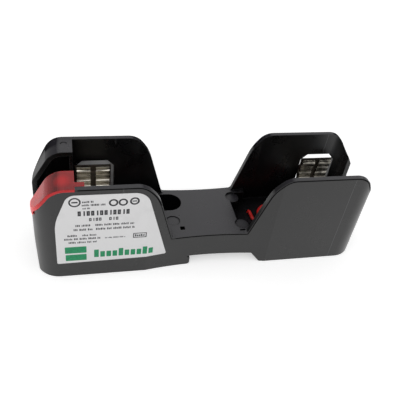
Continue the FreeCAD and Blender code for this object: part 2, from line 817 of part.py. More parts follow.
def make_clip_screws():
    """Two slotted pan head screws that hold the clips down."""
    screws = []
    seat = strap_top_z + tag_sheet
    for x in (left_clip_x, right_clip_x):
        head = post(x, 0, clip_screw_head_radius, seat, seat + clip_screw_head_height)
        rim = [edge for edge in head.Edges
               if abs(edge.CenterOfMass.z - seat - clip_screw_head_height) < 0.01 and edge.Closed]
        head = head.makeFillet(clip_screw_head_height * 0.45, rim)
        shank = post(x, 0, clip_screw_shank_radius, strap_top_z - clip_screw_length, seat)
        slot_top = seat + clip_screw_head_height
        slot = box(x - clip_screw_head_radius, x + clip_screw_head_radius, -clip_screw_slot / 2,
                   clip_screw_slot / 2, slot_top - clip_screw_slot_depth, slot_top + 1)
        screws.append(head.fuse(shank).cut(slot))
    return Part.makeCompound(screws)


def make_lead_tags():
    """Ring tags under the clip screws, each with a crimped barrel for its lead."""
    tags = []
    for x in (left_clip_x, right_clip_x):
        barrel_end = x - barrel_start - barrel_length
        ring = post(x, 0, tag_radius, strap_top_z, strap_top_z + tag_sheet)
        neck = box(barrel_end + barrel_length / 2, x - clip_screw_shank_radius, -barrel_radius * 0.8,
                   barrel_radius * 0.8, strap_top_z, strap_top_z + tag_sheet)
        barrel = Part.makeCylinder(barrel_radius, barrel_length,
                                   Vector(barrel_end, 0, barrel_z), Vector(1, 0, 0))
        bore = Part.makeCylinder(lead_radius + screw_fit, barrel_length + 1,
                                 Vector(barrel_end - 0.5, 0, barrel_z), Vector(1, 0, 0))
        hole = post(x, 0, clip_screw_shank_radius + stake_clearance, clip_seat_z, strap_top_z + wall)
        tags.append(ring.fuse([neck, barrel]).cut([bore, hole]))
    return Part.makeCompound(tags)


def make_rejection_plate():
    """Upright plate with a round seat for the fuse's groove, pressed into the base beside the right clip."""
    x0 = rejection_x
    plate = box(x0, x0 + rejection_sheet, -rejection_half_width, rejection_half_width,
                clip_seat_z - rejection_root, rejection_top_z)
    seat = Part.makeCylinder(fuse_radius - rejection_bore_inset, rejection_sheet + 2 * cut_margin,
                             Vector(x0 - cut_margin, 0, fuse_axis_z), Vector(1, 0, 0))
    notch = box(x0 - cut_margin, x0 + rejection_sheet + cut_margin,
                -lead_notch_width / 2, lead_notch_width / 2,
                clip_seat_z - rejection_root, clip_seat_z + lead_notch_height)
    return plate.cut([seat, notch])


def make_indicator_cover():
    """Red see-through cap over the left front corner, lapped down the outside, with a tongue."""
    shell = plan_solid(-cover_sheet, 0, height + cover_sheet * 2).common(under_crown(cover_sheet))
    core = plan_solid(0, -1, height + 1).common(under_crown(0))
    shell = shell.cut(core).cut(under_crown(-cover_lap))
    zone = box(-half - cover_sheet, hood_x, -half_width - cover_sheet, -hood_y,
               cover_end_z, height + cover_sheet)
    cap = shell.common(zone)
    tongue = box(hood_x - tongue_length * 0.7, hood_x + tongue_length, -inner_half_width + board_fit,
                 -tongue_inner_y, height - tongue_depth, height + cover_sheet * 0.1)
    return cap.fuse(tongue).removeSplitter()


def make_indicator_board():
    """Small circuit board standing in the slots of two ribs."""
    return box(board_left_x, board_right_x, board_front_y, board_back_y, board_bottom_z,
               board_bottom_z + board_height)


def bent_leg(x, y, z_top, z_board):
    """Fine wire leg that comes down from z_top and turns back into the board."""
    drop = post(x, y, lamp_leg_radius, z_board, z_top)
    knee = Part.makeSphere(lamp_leg_radius, Vector(x, y, z_board))
    back = Part.makeCylinder(lamp_leg_radius, y - board_back_y, Vector(x, y, z_board), Vector(0, -1, 0))
    return drop.fuse([knee, back])


def make_indicator_lamp():
    """Round lamp with a domed top and a flange, on two bent legs."""
    y = board_back_y + lamp_radius + stake_clearance * 3
    dome_z = lamp_base_z + lamp_height - lamp_radius
    flange_radius = lamp_radius + stake_clearance * 2
    flange = post(lamp_x, y, flange_radius, lamp_base_z, lamp_base_z + pressure_pad_thickness / 2)
    body = post(lamp_x, y, lamp_radius, lamp_base_z, dome_z)
    dome = Part.makeSphere(lamp_radius, Vector(lamp_x, y, dome_z))
    legs = [bent_leg(lamp_x + side * lamp_radius / 2, y, lamp_base_z, lamp_base_z - lamp_radius / 2)
            for side in (-1, 1)]
    return body.fuse([flange, dome] + legs)


def make_indicator_resistor():
    """Resistor lying on the board, with its wire ends bent into it."""
    y = board_back_y + resistor_radius + stake_clearance
    middle = (board_left_x + board_right_x) / 2
    start = middle - resistor_length / 2
    body = Part.makeCylinder(resistor_radius, resistor_length, Vector(start, y, resistor_z), Vector(1, 0, 0))
    reach = resistor_length / 2 + resistor_radius
    pieces = [Part.makeCylinder(lamp_leg_radius, reach * 2,
                                Vector(middle - reach, y, resistor_z), Vector(1, 0, 0))]
    for side in (-1, 1):
        x = middle + side * reach
        pieces.append(Part.makeSphere(lamp_leg_radius, Vector(x, y, resistor_z)))
        pieces.append(Part.makeCylinder(lamp_leg_radius, y - board_back_y, Vector(x, y, resistor_z),
                                        Vector(0, -1, 0)))
    return body.fuse(pieces)


def long_lead_route():
    """Centre line of the lead from the board, under the middle, to the right clip."""
    low = pocket_floor_z + lead_radius + stake_clearance
    start_x = board_left_x + long_lead_inset
    start_z = board_bottom_z + long_lead_rise
    drop = start_z - low
    left_run = left_pocket_x - start_x
    right_run = right_clip_x - lead_rise_x
    barrel_end = right_clip_x - barrel_start - barrel_length + lead_grip
    return [
        (start_x, board_back_y, start_z), (start_x, -12.0, start_z),
        (start_x + 0.1, -12.2, low + drop * 0.71), (start_x + 0.9, -13.0, low + drop * 0.36),
        (start_x + 3.0, -13.4, low + drop * 0.06), (start_x + left_run * 0.21, -13.55, low),
        (start_x + left_run * 0.47, -14.3, low + 0.1), (start_x + left_run * 0.7, -12.9, low),
        (start_x + left_run * 0.89, -9.6, low), (left_pocket_x + 2.0, -8.4, low - 0.2),
        (left_pocket_x + 10.0, -8.2, 12.0), (-8.0, -7.3, 10.4), (0.5, -3.6, 9.8),
        (7.6, 3.1, 9.7), (14.2, 6.55, 9.7),
        (lead_rise_x - lead_duct_approach, lead_duct_y + 0.1, lead_duct_z),
        (lead_rise_x, lead_duct_y, lead_duct_z + 0.1), (lead_rise_x + 0.1, lead_duct_y - 0.1, low + 0.2),
        (lead_rise_x + 0.6, -1.7, low), (lead_rise_x + right_run * 0.11, -1.6, low),
        (lead_rise_x + right_run * 0.145, 5.6, low + 0.1), (lead_rise_x + right_run * 0.265, 9.6, low + 0.6),
        (lead_rise_x + right_run * 0.42, 7.4, low + 1.9), (lead_rise_x + right_run * 0.55, 2.4, low + 4.9),
        (lead_rise_x + right_run * 0.65, 0.0, barrel_z), (barrel_end, 0, barrel_z),
    ]


def short_lead_route():
    """Centre line of the lead from the board to the left clip."""
    barrel_end = left_clip_x - barrel_start - barrel_length + lead_grip
    end_z = board_bottom_z + short_lead_rise
    rise = end_z - barrel_z
    end_x = barrel_end - short_lead_reach
    return [
        (barrel_end, 0, barrel_z), (end_x + 1.7, 0.0, barrel_z + 0.1),
        (end_x + 1.3, -5.5, barrel_z + rise * 0.06), (end_x + 1.4, -10.6, barrel_z + rise * 0.31),
        (end_x + 0.6, -12.6, barrel_z + rise * 0.68), (end_x, -12.0, end_z),
        (end_x, board_back_y, end_z),
    ]


def lead_at(x):
    """Point of the long lead's route under the middle where it passes this X."""
    route = long_lead_route()
    for first, second in zip(route, route[1:]):
        if first[0] <= x <= second[0] and first[0] < second[0]:
            share = (x - first[0]) / (second[0] - first[0])
            return Vector(*first) + (Vector(*second) - Vector(*first)) * share
    raise ValueError("the long lead doesn't pass this place")


def make_lead(name, points):
    """Round lead along straight runs joined by tangent arcs."""
    places = [Vector(*point) for point in points]
    edges = []
    radii = []
    here = places[0]
    for before, corner, after in zip(places, places[1:], places[2:]):
        back = before - corner
        ahead = after - corner
        turn = math.pi - back.getAngle(ahead)
        run = 0.45 * min(back.Length, ahead.Length)
        radius = run / math.tan(turn / 2)
        back.normalize()
        ahead.normalize()
        bisector = back + ahead
        bisector.normalize()
        start = corner + back * run
        end = corner + ahead * run
        middle = corner + bisector * (radius / math.cos(turn / 2) - radius)
        edges.append(Part.LineSegment(here, start).toShape())
        edges.append(Part.Arc(start, middle, end).toShape())
        radii.append(round(radius, 1))
        here = end
    edges.append(Part.LineSegment(here, places[-1]).toShape())
    path = Part.Wire(edges)
    circle = Part.Wire(Part.Circle(places[0], places[1] - places[0], lead_radius).toShape())
    lead = path.makePipeShell([circle], True, False, 2)
    section = math.pi * lead_radius ** 2
    print(name, "length", round(path.Length, 1),
          "volume ratio", round(lead.Volume / (section * path.Length), 4))
    print(name, "bend radii", radii)
    return lead


def make_rail_latch():
    """Flat slide with a sloped nose under the rail's edge, a window for its spring and a lever slot."""
    corners = [
        (latch_tip_x, latch_top_z, 0),
        (latch_tip_x, latch_top_z - latch_nose_edge, 0),
        (latch_tip_x + latch_nose_run, latch_bottom_z, 0),
        (latch_end_x, latch_bottom_z, 0),
        (latch_end_x, latch_top_z, 0),
    ]
    slide = side_prism(corners, -latch_half_width, latch_half_width)
    gap = spring_post_half_width + latch_clearance
    window = box(latch_window_x, post_x + spring_post + screw_fit, -gap, gap, 0, latch_top_z + 1)
    slot_start = latch_end_x - latch_slot_inset - latch_slot_length
    lever = box(slot_start, slot_start + latch_slot_length, -latch_slot_width / 2, latch_slot_width / 2,
                0, latch_top_z + 1)
    return slide.cut([window, lever])


def make_latch_spring():
    """Compression spring between the latch's window and the fixed post, axis along X."""
    mean = spring_radius - spring_wire / 2
    start = latch_window_x + spring_wire / 2 + screw_fit
    end = post_x - spring_wire / 2 - screw_fit
    run = end - start
    helix = Part.makeHelix(run / spring_turns, run, mean)
    section = Part.Wire(Part.Circle(Vector(mean, 0, 0), Vector(0, 1, 0), spring_wire / 2).toShape())
    coil = Part.Wire(helix).makePipeShell([section], True, True)
    coil.rotate(Vector(0, 0, 0), Vector(0, 1, 0), 90)
    coil.translate(Vector(start, 0, latch_axis_z))
    return coil


def make_label(side):
    """Thin label that follows the wall and wraps the corner; side is -1 front, 1 back."""
    corners = [
        (label_left_x, label_bottom_z, label_small_round),
        (label_right_x, label_bottom_z + label_right_rise, label_small_round),
        (label_top_right_x, label_top_z, label_right_round),
        (label_left_x + label_slant_run, label_top_z, label_left_round),
        (label_left_x, label_top_z - label_slant_drop, label_slant_round),
    ]
    skin = plan_solid(-label_sheet, 0, height).cut(plan_solid(0, -1, height + 1))
    y0 = min(side * width, 0)
    return skin.common(side_prism(corners, y0, y0 + width))


parts = {
    "base": make_base(),
    "left_clip": make_clip(left_clip_x, left_lug_x),
    "right_clip": make_clip(right_clip_x, right_lug_x),
    "left_clip_spring": make_clip_spring(left_clip_x),
    "right_clip_spring": make_clip_spring(right_clip_x),
    "left_lug": make_lug(left_lug_x),
    "right_lug": make_lug(right_lug_x),
    "left_lug_screw": make_lug_screw(left_lug_x),
    "right_lug_screw": make_lug_screw(right_lug_x),
    "left_pressure_pad": make_pressure_pad(left_lug_x),
    "right_pressure_pad": make_pressure_pad(right_lug_x),
    "clip_screws": make_clip_screws(),
    "lead_tags": make_lead_tags(),
    "rejection_plate": make_rejection_plate(),
    "indicator_cover": make_indicator_cover(),
    "indicator_board": make_indicator_board(),
    "indicator_lamp": make_indicator_lamp(),
    "indicator_resistor": make_indicator_resistor(),
    "long_lead": make_lead("long_lead", long_lead_route()),
    "short_lead": make_lead("short_lead", short_lead_route()),
    "rail_latch": make_rail_latch(),
    "latch_spring": make_latch_spring(),
    "front_label": make_label(-1),
    "rear_label": make_label(1),
}

os.makedirs("parts", exist_ok=True)
for name, shape in parts.items():
    print(name, shape.isValid(), len(shape.Solids), round(shape.Volume, 1))
    shape.exportStep("parts/" + name + ".step")
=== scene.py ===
import math
import random

import bmesh
import bpy
from bpy.props import FloatProperty, FloatVectorProperty, IntProperty, PointerProperty
from bpy.types import Operator, Panel, PropertyGroup
from mathutils import Matrix, Vector


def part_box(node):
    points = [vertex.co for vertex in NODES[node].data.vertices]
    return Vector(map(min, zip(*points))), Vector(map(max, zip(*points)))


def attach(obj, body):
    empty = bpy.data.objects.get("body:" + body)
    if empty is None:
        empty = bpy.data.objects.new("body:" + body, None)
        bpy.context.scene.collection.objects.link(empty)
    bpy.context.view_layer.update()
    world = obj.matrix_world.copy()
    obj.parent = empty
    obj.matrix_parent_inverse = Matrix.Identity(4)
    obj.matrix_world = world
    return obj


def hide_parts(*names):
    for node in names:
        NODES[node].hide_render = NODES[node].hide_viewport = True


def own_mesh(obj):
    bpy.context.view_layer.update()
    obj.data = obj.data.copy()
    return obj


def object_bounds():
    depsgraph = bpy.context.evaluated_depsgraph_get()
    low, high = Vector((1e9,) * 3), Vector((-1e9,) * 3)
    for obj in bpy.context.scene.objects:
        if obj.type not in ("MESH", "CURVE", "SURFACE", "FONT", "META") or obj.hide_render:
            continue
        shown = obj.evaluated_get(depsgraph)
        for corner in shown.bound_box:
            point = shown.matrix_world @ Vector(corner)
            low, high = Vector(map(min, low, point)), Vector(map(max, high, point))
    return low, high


bl_info = {
    "name": "Rail fuse block looks",
    "version": (1, 0, 0),
    "blender": (4, 5, 0),
    "location": "View3D > Sidebar > Fuse block",
    "description": "Finishes, label print, light and camera for an open fuse block",
    "category": "Object",
}

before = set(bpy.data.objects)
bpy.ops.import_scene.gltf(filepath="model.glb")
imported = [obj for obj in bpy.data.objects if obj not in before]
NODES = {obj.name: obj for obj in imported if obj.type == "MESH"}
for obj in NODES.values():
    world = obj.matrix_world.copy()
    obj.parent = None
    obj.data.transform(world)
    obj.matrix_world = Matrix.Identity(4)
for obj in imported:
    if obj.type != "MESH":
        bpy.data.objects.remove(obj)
CAD_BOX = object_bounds()
MM = 0.001

# Plan of the side walls, which the label's print and the painted shadow lines follow, in millimetres
WALL_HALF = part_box("base")[1].y / MM
WAIST_HALF = 18.2
WAIST_REACH = 33.5
CORNER_START = 76.5
CORNER_RADIUS = 12.0
LABEL_SHEET = 0.2

# Where shapes on a wall are split, so that they bend with the start of the waist
BEND_SPLITS = (-WAIST_REACH, -WAIST_REACH + 1.5, -WAIST_REACH + 3.0)

# Side view of the walls' upper edge from the middle to the right end, in millimetres: place and rounding
HOOD_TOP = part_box("base")[1].z / MM
CROWN = (
    (20.2, 21.2, 0.0),
    (28.73, 50.2, 22.0),
    (35.58, HOOD_TOP, 9.5),
    (78.51, HOOD_TOP, 10.0),
    (88.5, 40.5, 0.0),
)

# Steps in each rounding of that edge
ARC_STEPS = 12

# Painted shadow lines under that edge, in millimetres: how close their points lie, and each stretch's start
# and end
SHADOW_LINE_SPACING = 2.0
FRONT_SHADOW_LINES = ((-68.0, -27.0), (-20.2, 87.8))
BACK_SHADOW_LINES = ((-87.8, 87.8),)

# Arc mark on the hood, in millimetres: a ring's middle, radius and line, and where a cut leaves the arc
MARK_PLACE = (-72.3, 14.6)
MARK_RADIUS = 1.7
MARK_LINE = 0.5
MARK_CUT = 0.2

# Start of the random draws for the small print
PRINT_SEED = 5

# Print on the front label, in millimetres: rings by middle, radius and line
LABEL_RINGS = (
    (-68.5, 50.4, 2.8, 0.75),
    (-50.8, 49.3, 2.2, 0.85),
    (-46.3, 49.3, 2.2, 0.85),
    (-40.9, 49.7, 2.3, 0.85),
)

# Bars across two of the rings, and the frame of the small box, by left, right, bottom and top
RING_BARS = ((-69.9, -67.1, 50.0, 50.8), (-42.0, -39.8, 49.4, 50.0))
SMALL_BOX = (-40.8, -34.1, 25.2, 28.5)
SMALL_BOX_LINE = 0.45

# Rows of upright boxes by left, right, base, height and count
BOX_ROWS = ((-67.3, -42.6, 41.8, 3.0, 12), (-62.1, -55.9, 38.3, 1.9, 4), (-52.7, -48.0, 38.3, 1.9, 3))

# Rows of small print by left, right, base and height
PRINT_ROWS = (
    (-65.1, -59.9, 49.9, 1.1),
    (-65.3, -54.6, 47.9, 1.1),
    (-65.0, -61.4, 46.0, 0.9),
    (-68.5, -60.8, 34.9, 1.2),
    (-59.2, -40.7, 34.9, 1.2),
    (-69.4, -60.6, 32.2, 1.3),
    (-58.9, -40.3, 32.2, 1.3),
    (-72.4, -67.7, 28.4, 1.2),
    (-65.4, -58.4, 28.4, 1.2),
    (-74.0, -56.8, 26.1, 1.2),
    (-54.6, -44.8, 26.1, 0.8),
    (-72.0, -58.6, 23.7, 1.2),
    (-39.9, -35.0, 26.1, 1.5),
)

# Green fields by left, right, bottom and top, and the row of green bars beside them
FIELDS = ((-74.0, -63.6, 16.8, 21.3), (-73.8, -63.6, 11.5, 15.8))
FIELD_ROUNDING = 0.4
GREEN_BARS = 10
GREEN_BAR_START = -59.9
GREEN_BAR_STEP = 3.05
GREEN_BAR_WIDTH = 2.3
GREEN_BAR_FOOT = 13.0
GREEN_BAR_TOP = 17.0
TALL_BAR_TOP = 18.4
TALL_BAR_EVERY = 4
GREEN_BAR_ROUNDING = 0.3

# Coil spring behind the rail latch: steps in a turn and sides of the wire
COIL_STEPS = 28
WIRE_SIDES = 10

# How far round a spot the mouldings' hollows and crevices are looked for, and the shine left in them; taking
# the reflection out of them paints their shade
HOLLOW_REACH = 30 * MM
CREVICE_REACH = 0.9 * MM
PAINTED_SHADE_SHINE = 0.03

# Lines that the mould left on the front wall: place along the block and lower end
WITNESS_LINES = ((72.0 * MM, 0.0), (-46.3 * MM, 54.5 * MM))
WITNESS_HALF = 0.16 * MM

# Painted shade on the walls' edges above a foot, as reflection taken away, from the front wall to the back
# one, and on rounded stretches
RIM_FOOT = 24 * MM
RIM_DEPTHS = (13 * MM, 18 * MM)
RIM_PAINTED_SHADE = (0.26, 0.50)
CURVE_PAINTED_SHADE = 0.64

# Scale of the wave texture whose bands lie 3.6 mm apart, for the clips' swells
SWELL_SCALE = 88.0

# Directions of the marks left on metal: a large number sets them close together along that axis
LEVEL_STREAKS = (60.0, 60.0, 1400.0)
CROSS_STREAKS = (1400.0, 60.0, 60.0)
UPRIGHT_STREAKS = (1200.0, 1200.0, 90.0)
EVEN_GRAIN = (700.0, 700.0, 700.0)

# Red cover: where the painted glow at its thin end starts and where it is brightest, and the painted glow
# spot over the lamp
RESIN_IOR = 1.49
TIP_REACH = (-77 * MM, -88 * MM)
PAINTED_TIP_GLOW = 1.6
PAINTED_LAMP_GLOW = 0.7
LAMP_GLOW_REACH = 5 * MM
LAMP_GLOW_SHIFT = 1 * MM

# Stage, in metres
KEY_PLACE = (-0.45, -0.75, 1.1)
KEY_SIDE = 1.3
FILL_PLACE = (0.9, -0.35, 0.7)
FILL_SIDE = 1.0
LIGHT_TARGET = (0, 0, 0.02)
FLOOR_REACH = 4.0
FLOOR_DROP = 0.2 * MM

# Width of the image in pixels, width of the camera's sensor in millimetres, and the world's colour
IMAGE_SIDE = 400
SENSOR = 36.0
WHITE = (1, 1, 1, 1)


def colour(name, description, default):
    """Colour property for a finish."""
    return FloatVectorProperty(name=name, description=description, default=default, size=3,
                               min=0.0, max=1.0, subtype="COLOR")


def measure(name, description, default):
    """Length property."""
    return FloatProperty(name=name, description=description, default=default, min=0.0, unit="LENGTH")


class BlockSizes(PropertyGroup):
    """Sizes of the pieces added to the block."""

    spring_wire: measure("Spring wire", "Thickness of the latch spring's wire", 0.7 * MM)
    spring_turns: IntProperty(name="Spring turns", description="Turns of the latch spring", default=6, min=1)
    # Painted shadow lines: dark strips laid just under the walls' upper edge, where its shade falls
    shadow_line_width: measure("Seam width", "Width of the dark shadow_lines", 0.62 * MM)
    shadow_line_drop: measure("Seam drop", "How far the shadow_lines lie below the walls' upper edge", 0.62 * MM)
    print_sheet: measure("Print thickness", "How far print stands proud of what it lies on", 0.03 * MM)


class BlockFinishes(PropertyGroup):
    """Colours and surface values of the block's materials."""

    moulding: colour("Moulding", "Black thermoplastic of the base", (0.0028, 0.0027, 0.0029))
    moulding_roughness: FloatProperty(name="Moulding roughness", description="Satin of the moulded faces",
                                      default=0.30, min=0.0, max=1.0, subtype="FACTOR")
    moulding_grain: measure("Moulding grain", "Depth of the fine mould texture", 0.02 * MM)
    moulding_shine: FloatProperty(name="Moulding shine", description="Reflection of the open faces",
                                  default=0.55, min=0.0, max=1.0, subtype="FACTOR")
    # Pale tone on open upward faces: partly a dusting, partly a painted sheen that stands in for their
    # reflection
    dust_and_sheen: colour("Dust", "Faint dust on open upward faces", (0.0215, 0.0203, 0.0245))
    specks: colour("Specks", "Lighter specks in the dust", (0.10, 0.10, 0.105))
    # Lighter edges: partly wear, partly a painted edge highlight
    worn_and_highlit: colour("Rubbed edges", "Worn edges of the mouldings", (0.05, 0.05, 0.055))
    witness: colour("Witness lines", "Fine lines left by the mould", (0.07, 0.07, 0.074))
    # Colour of the painted shadow lines, which the hood mark also uses
    seam: colour("Seam", "Dull black of the shadow_lines", (0.0008, 0.0008, 0.0008))
    shadow_line_dust: colour("Seam dust", "Dust in the shadow_lines", (0.004, 0.004, 0.0045))
    tin: colour("Tin plating", "Plated fuse clips", (0.74, 0.70, 0.61))
    clip_swell: measure("Clip swell", "Height of the level swells on the left clip and tags", 0.78 * MM)
    worn_swell: measure("Worn swell", "Height of the level swells on the right clip", 0.6 * MM)
    # Dark colour for the springs: partly blackened steel, partly painted shade
    blackened_and_shaded_steel: colour("Spring steel", "Clip springs and latch spring", (0.095, 0.083, 0.070))
    zinc: colour("Zinc", "Screws and plates", (0.62, 0.63, 0.66))
    aluminium: colour("Aluminium", "Box lugs", (0.73, 0.73, 0.74))
    cover: colour("Indicator cover", "See-through red plastic", (0.52, 0.006, 0.010))
    lamp: colour("Lamp", "Clear red resin", (0.85, 0.10, 0.05))
    board: colour("Board", "Green solder mask", (0.02, 0.16, 0.06))
    resistor: colour("Resistor", "Lacquered body", (0.60, 0.45, 0.28))
    resistor_ring: colour("Resistor rings", "Plain rings on the resistor", (0.25, 0.03, 0.02))
    lead: colour("Lead", "Red soft insulation", (0.62, 0.015, 0.012))
    label: colour("Label", "White satin label", (0.89, 0.885, 0.89))
    ink: colour("Ink", "Dark print on the label", (0.028, 0.028, 0.032))
    band: colour("Band", "Green fields on the label", (0.025, 0.25, 0.11))


class StageSettings(PropertyGroup):
    """Camera, light and floor."""

    camera_place: FloatVectorProperty(name="Camera place", description="Where the camera stands",
                                      default=(-0.070523, -0.210138, 0.219536), size=3, subtype="XYZ",
                                      unit="LENGTH")
    camera_yaw: FloatProperty(name="Yaw", description="Turn to the right from looking along +Y",
                              default=0.3125, subtype="ANGLE")
    camera_pitch: FloatProperty(name="Pitch", description="Tilt below the horizon", default=0.7106,
                                subtype="ANGLE")
    camera_roll: FloatProperty(name="Roll", description="Turn about the line of sight", default=0.1604,
                               subtype="ANGLE")
    focal_pixels: FloatProperty(name="Focal length", description="In pixels of a 400 pixel wide image",
                                default=542.849, subtype="PIXEL")
    world_light: FloatProperty(name="World light", description="Even light from all round", default=0.55)
    key_power: FloatProperty(name="Key power", description="Soft light above and in front", default=4.0,
                             subtype="POWER")
    fill_power: FloatProperty(name="Fill power", description="Soft light from the right", default=1.0,
                              subtype="POWER")
    floor: colour("Floor", "Pale plain floor", (0.86, 0.86, 0.86))
    floor_glow: FloatProperty(name="Floor glow", description="Lift that makes the lit floor white",
                              default=0.50)


def block_sizes():
    """Sizes of the added pieces."""
    return bpy.context.scene.block_sizes


def finishes():
    """The block's colours and surface values."""
    return bpy.context.scene.block_finishes


class Finish:
    """Node material with a principled shader, laid out on Object coordinates."""

    def __init__(self, name, base, roughness, metallic=0.0):
        self.material = bpy.data.materials.new(name)
        self.material.use_nodes = True
        self.nodes = self.material.node_tree.nodes
        self.links = self.material.node_tree.links
        self.shader = self.nodes["Principled BSDF"]
        self.place = self.nodes.new("ShaderNodeTexCoord").outputs["Object"]
        self.even("Base Color", (*base, 1.0))
        self.even("Roughness", roughness)
        self.even("Metallic", metallic)

    def even(self, name, value):
        """Gives the shader a value that is the same all over."""
        self.shader.inputs[name].default_value = value

    def varied(self, name, socket):
        """Gives the shader a value that changes over the surface."""
        self.links.new(socket, self.shader.inputs[name])

    def add(self, kind, **values):
        """New node with its properties and input values set; x__y names the input 'x y'."""
        node = self.nodes.new(kind)
        for key, value in values.items():
            if hasattr(node, key):
                setattr(node, key, value)
            else:
                node.inputs[key.replace("__", " ")].default_value = value
        return node

    def maths(self, operation, first, second=None):
        """One sum on a socket, with a number or another socket."""
        node = self.add("ShaderNodeMath", operation=operation)
        self.links.new(first, node.inputs[0])
        if isinstance(second, bpy.types.NodeSocket):
            self.links.new(second, node.inputs[1])
        elif second is not None:
            node.inputs[1].default_value = second
        return node.outputs["Value"]

    def times(self, first, second):
        """Product of a socket and a number or another socket."""
        return self.maths("MULTIPLY", first, second)

    def larger(self, first, second):
        """The larger of two sockets."""
        return self.maths("MAXIMUM", first, second)

    def ranged(self, value, low, high, to_low, to_high):
        """Value moved from one range to another."""
        node = self.add("ShaderNodeMapRange", From__Min=low, From__Max=high,
                        To__Min=to_low, To__Max=to_high)
        self.links.new(value, node.inputs["Value"])
        return node.outputs["Result"]

    def share(self, value, none, full):
        """Mask that is 0 where the value is at none, and 1 where it is at full."""
        return self.ranged(value, none, full, 0.0, 1.0)

    def blend(self, factor, first, second):
        """Colour between two, by a factor; either may be a socket."""
        node = self.add("ShaderNodeMix", data_type="RGBA")
        self.links.new(factor, node.inputs["Factor"])
        for name, value in (("A", first), ("B", second)):
            socket = [s for s in node.inputs if s.name == name and s.type == "RGBA"][0]
            if isinstance(value, bpy.types.NodeSocket):
                self.links.new(value, socket)
            else:
                socket.default_value = (*value, 1.0)
        return [s for s in node.outputs if s.type == "RGBA"][0]

    def parts_of(self, vector):
        """X, Y and Z sockets of a vector socket."""
        node = self.nodes.new("ShaderNodeSeparateXYZ")
        self.links.new(vector, node.inputs["Vector"])
        return node.outputs["X"], node.outputs["Y"], node.outputs["Z"]

    def stretched(self, scale):
        """Object coordinates, scaled unevenly, for grain that runs one way."""
        mapping = self.add("ShaderNodeMapping", Scale=scale)
        self.links.new(self.place, mapping.inputs["Vector"])
        return mapping.outputs["Vector"]

    def noise(self, scale, detail=3.0, place=None):
        """Noise value on the object's own coordinates."""
        node = self.add("ShaderNodeTexNoise", Scale=scale, Detail=detail)
        self.links.new(place or self.place, node.inputs["Vector"])
        return node.outputs["Fac"]

    def wave(self, **values):
        """Bands on the object's own coordinates."""
        node = self.add("ShaderNodeTexWave", **values)
        self.links.new(self.place, node.inputs["Vector"])
        return node.outputs["Fac"]

    def facing(self):
        """The surface's own direction."""
        return self.nodes.new("ShaderNodeNewGeometry").outputs["Normal"]

    def slant(self):
        """Upward part of the surface's direction: 0 on a wall, 1 on a level top."""
        return self.parts_of(self.facing())[2]

    def upward(self):
        """How far the surface faces up, from 0 to 1."""
        return self.share(self.slant(), 0.3, 0.9)

    def frontward(self):
        """How far the surface faces the labelled front, from 0 to 1."""
        return self.share(self.parts_of(self.facing())[1], -0.5, -0.9)

    def curved(self):
        """Mask of the rounded stretch between a level top and a steep slope."""
        slant = self.slant()
        return self.times(self.share(slant, 0.995, 0.95), self.share(slant, 0.42, 0.52))

    def edges(self, radius):
        """Rounded normal at the edges, and a mask that is 1 on them."""
        bevel = self.add("ShaderNodeBevel", Radius=radius, samples=4)
        dot = self.add("ShaderNodeVectorMath", operation="DOT_PRODUCT")
        self.links.new(bevel.outputs["Normal"], dot.inputs[0])
        self.links.new(self.facing(), dot.inputs[1])
        return bevel.outputs["Normal"], self.share(dot.outputs["Value"], 0.99, 0.8)

    def open_share(self, reach):
        """How much of the sky above a spot is free of the object itself, within reach."""
        node = self.add("ShaderNodeAmbientOcclusion", Distance=reach, samples=6, only_local=True)
        return node.outputs["AO"]

    def upright_line(self, x, foot):
        """Mask of a witness line at this X, from a height upwards."""
        along, _, rise = self.parts_of(self.place)
        offset = self.maths("ABSOLUTE", self.maths("SUBTRACT", along, x))
        line = self.share(offset, WITNESS_HALF, WITNESS_HALF * 0.4)
        return self.times(line, self.maths("GREATER_THAN", rise, foot))

    def gloss_after_painted_shade(self):
        """Share of the reflection kept: less on the walls' upper edges, on the hood and on its curve, where
        shade is painted.
        """
        _, depth, rise = self.parts_of(self.place)
        rim = self.times(self.share(self.slant(), 0.15, 0.35), self.maths("GREATER_THAN", rise, RIM_FOOT))
        curve = self.times(self.curved(), CURVE_PAINTED_SHADE)
        painted_shade = self.maths("ADD", self.ranged(depth, *RIM_DEPTHS, *RIM_PAINTED_SHADE), curve)
        return self.share(self.times(rim, painted_shade), 1.0, 0.0)

    def glow_round(self, centre, reach):
        """Mask that fades from 1 at a spot to 0 at its reach."""
        apart = self.add("ShaderNodeVectorMath", operation="DISTANCE")
        self.links.new(self.place, apart.inputs[0])
        apart.inputs[1].default_value = centre
        return self.share(apart.outputs["Value"], reach, reach * 0.3)

    def raised(self, height, distance, strength=1.0, normal=None):
        """Normal of a surface raised by a height."""
        node = self.add("ShaderNodeBump", Strength=strength, Distance=distance)
        self.links.new(height, node.inputs["Height"])
        if normal is not None:
            self.links.new(normal, node.inputs["Normal"])
        return node.outputs["Normal"]

    def bump(self, height, distance, strength=1.0, normal=None):
        """Bump on the shader's normal."""
        self.varied("Normal", self.raised(height, distance, strength, normal))

    def colour_from(self, socket):
        """Base colour that changes over the surface."""
        self.varied("Base Color", socket)

    def roughness_between(self, noise, low, high):
        """Roughness that follows a noise from low to high."""
        self.varied("Roughness", self.ranged(noise, 0.3, 0.7, low, high))


def tinted(base, factor):
    """A colour made lighter or darker."""
    return tuple(min(1.0, channel * factor) for channel in base)


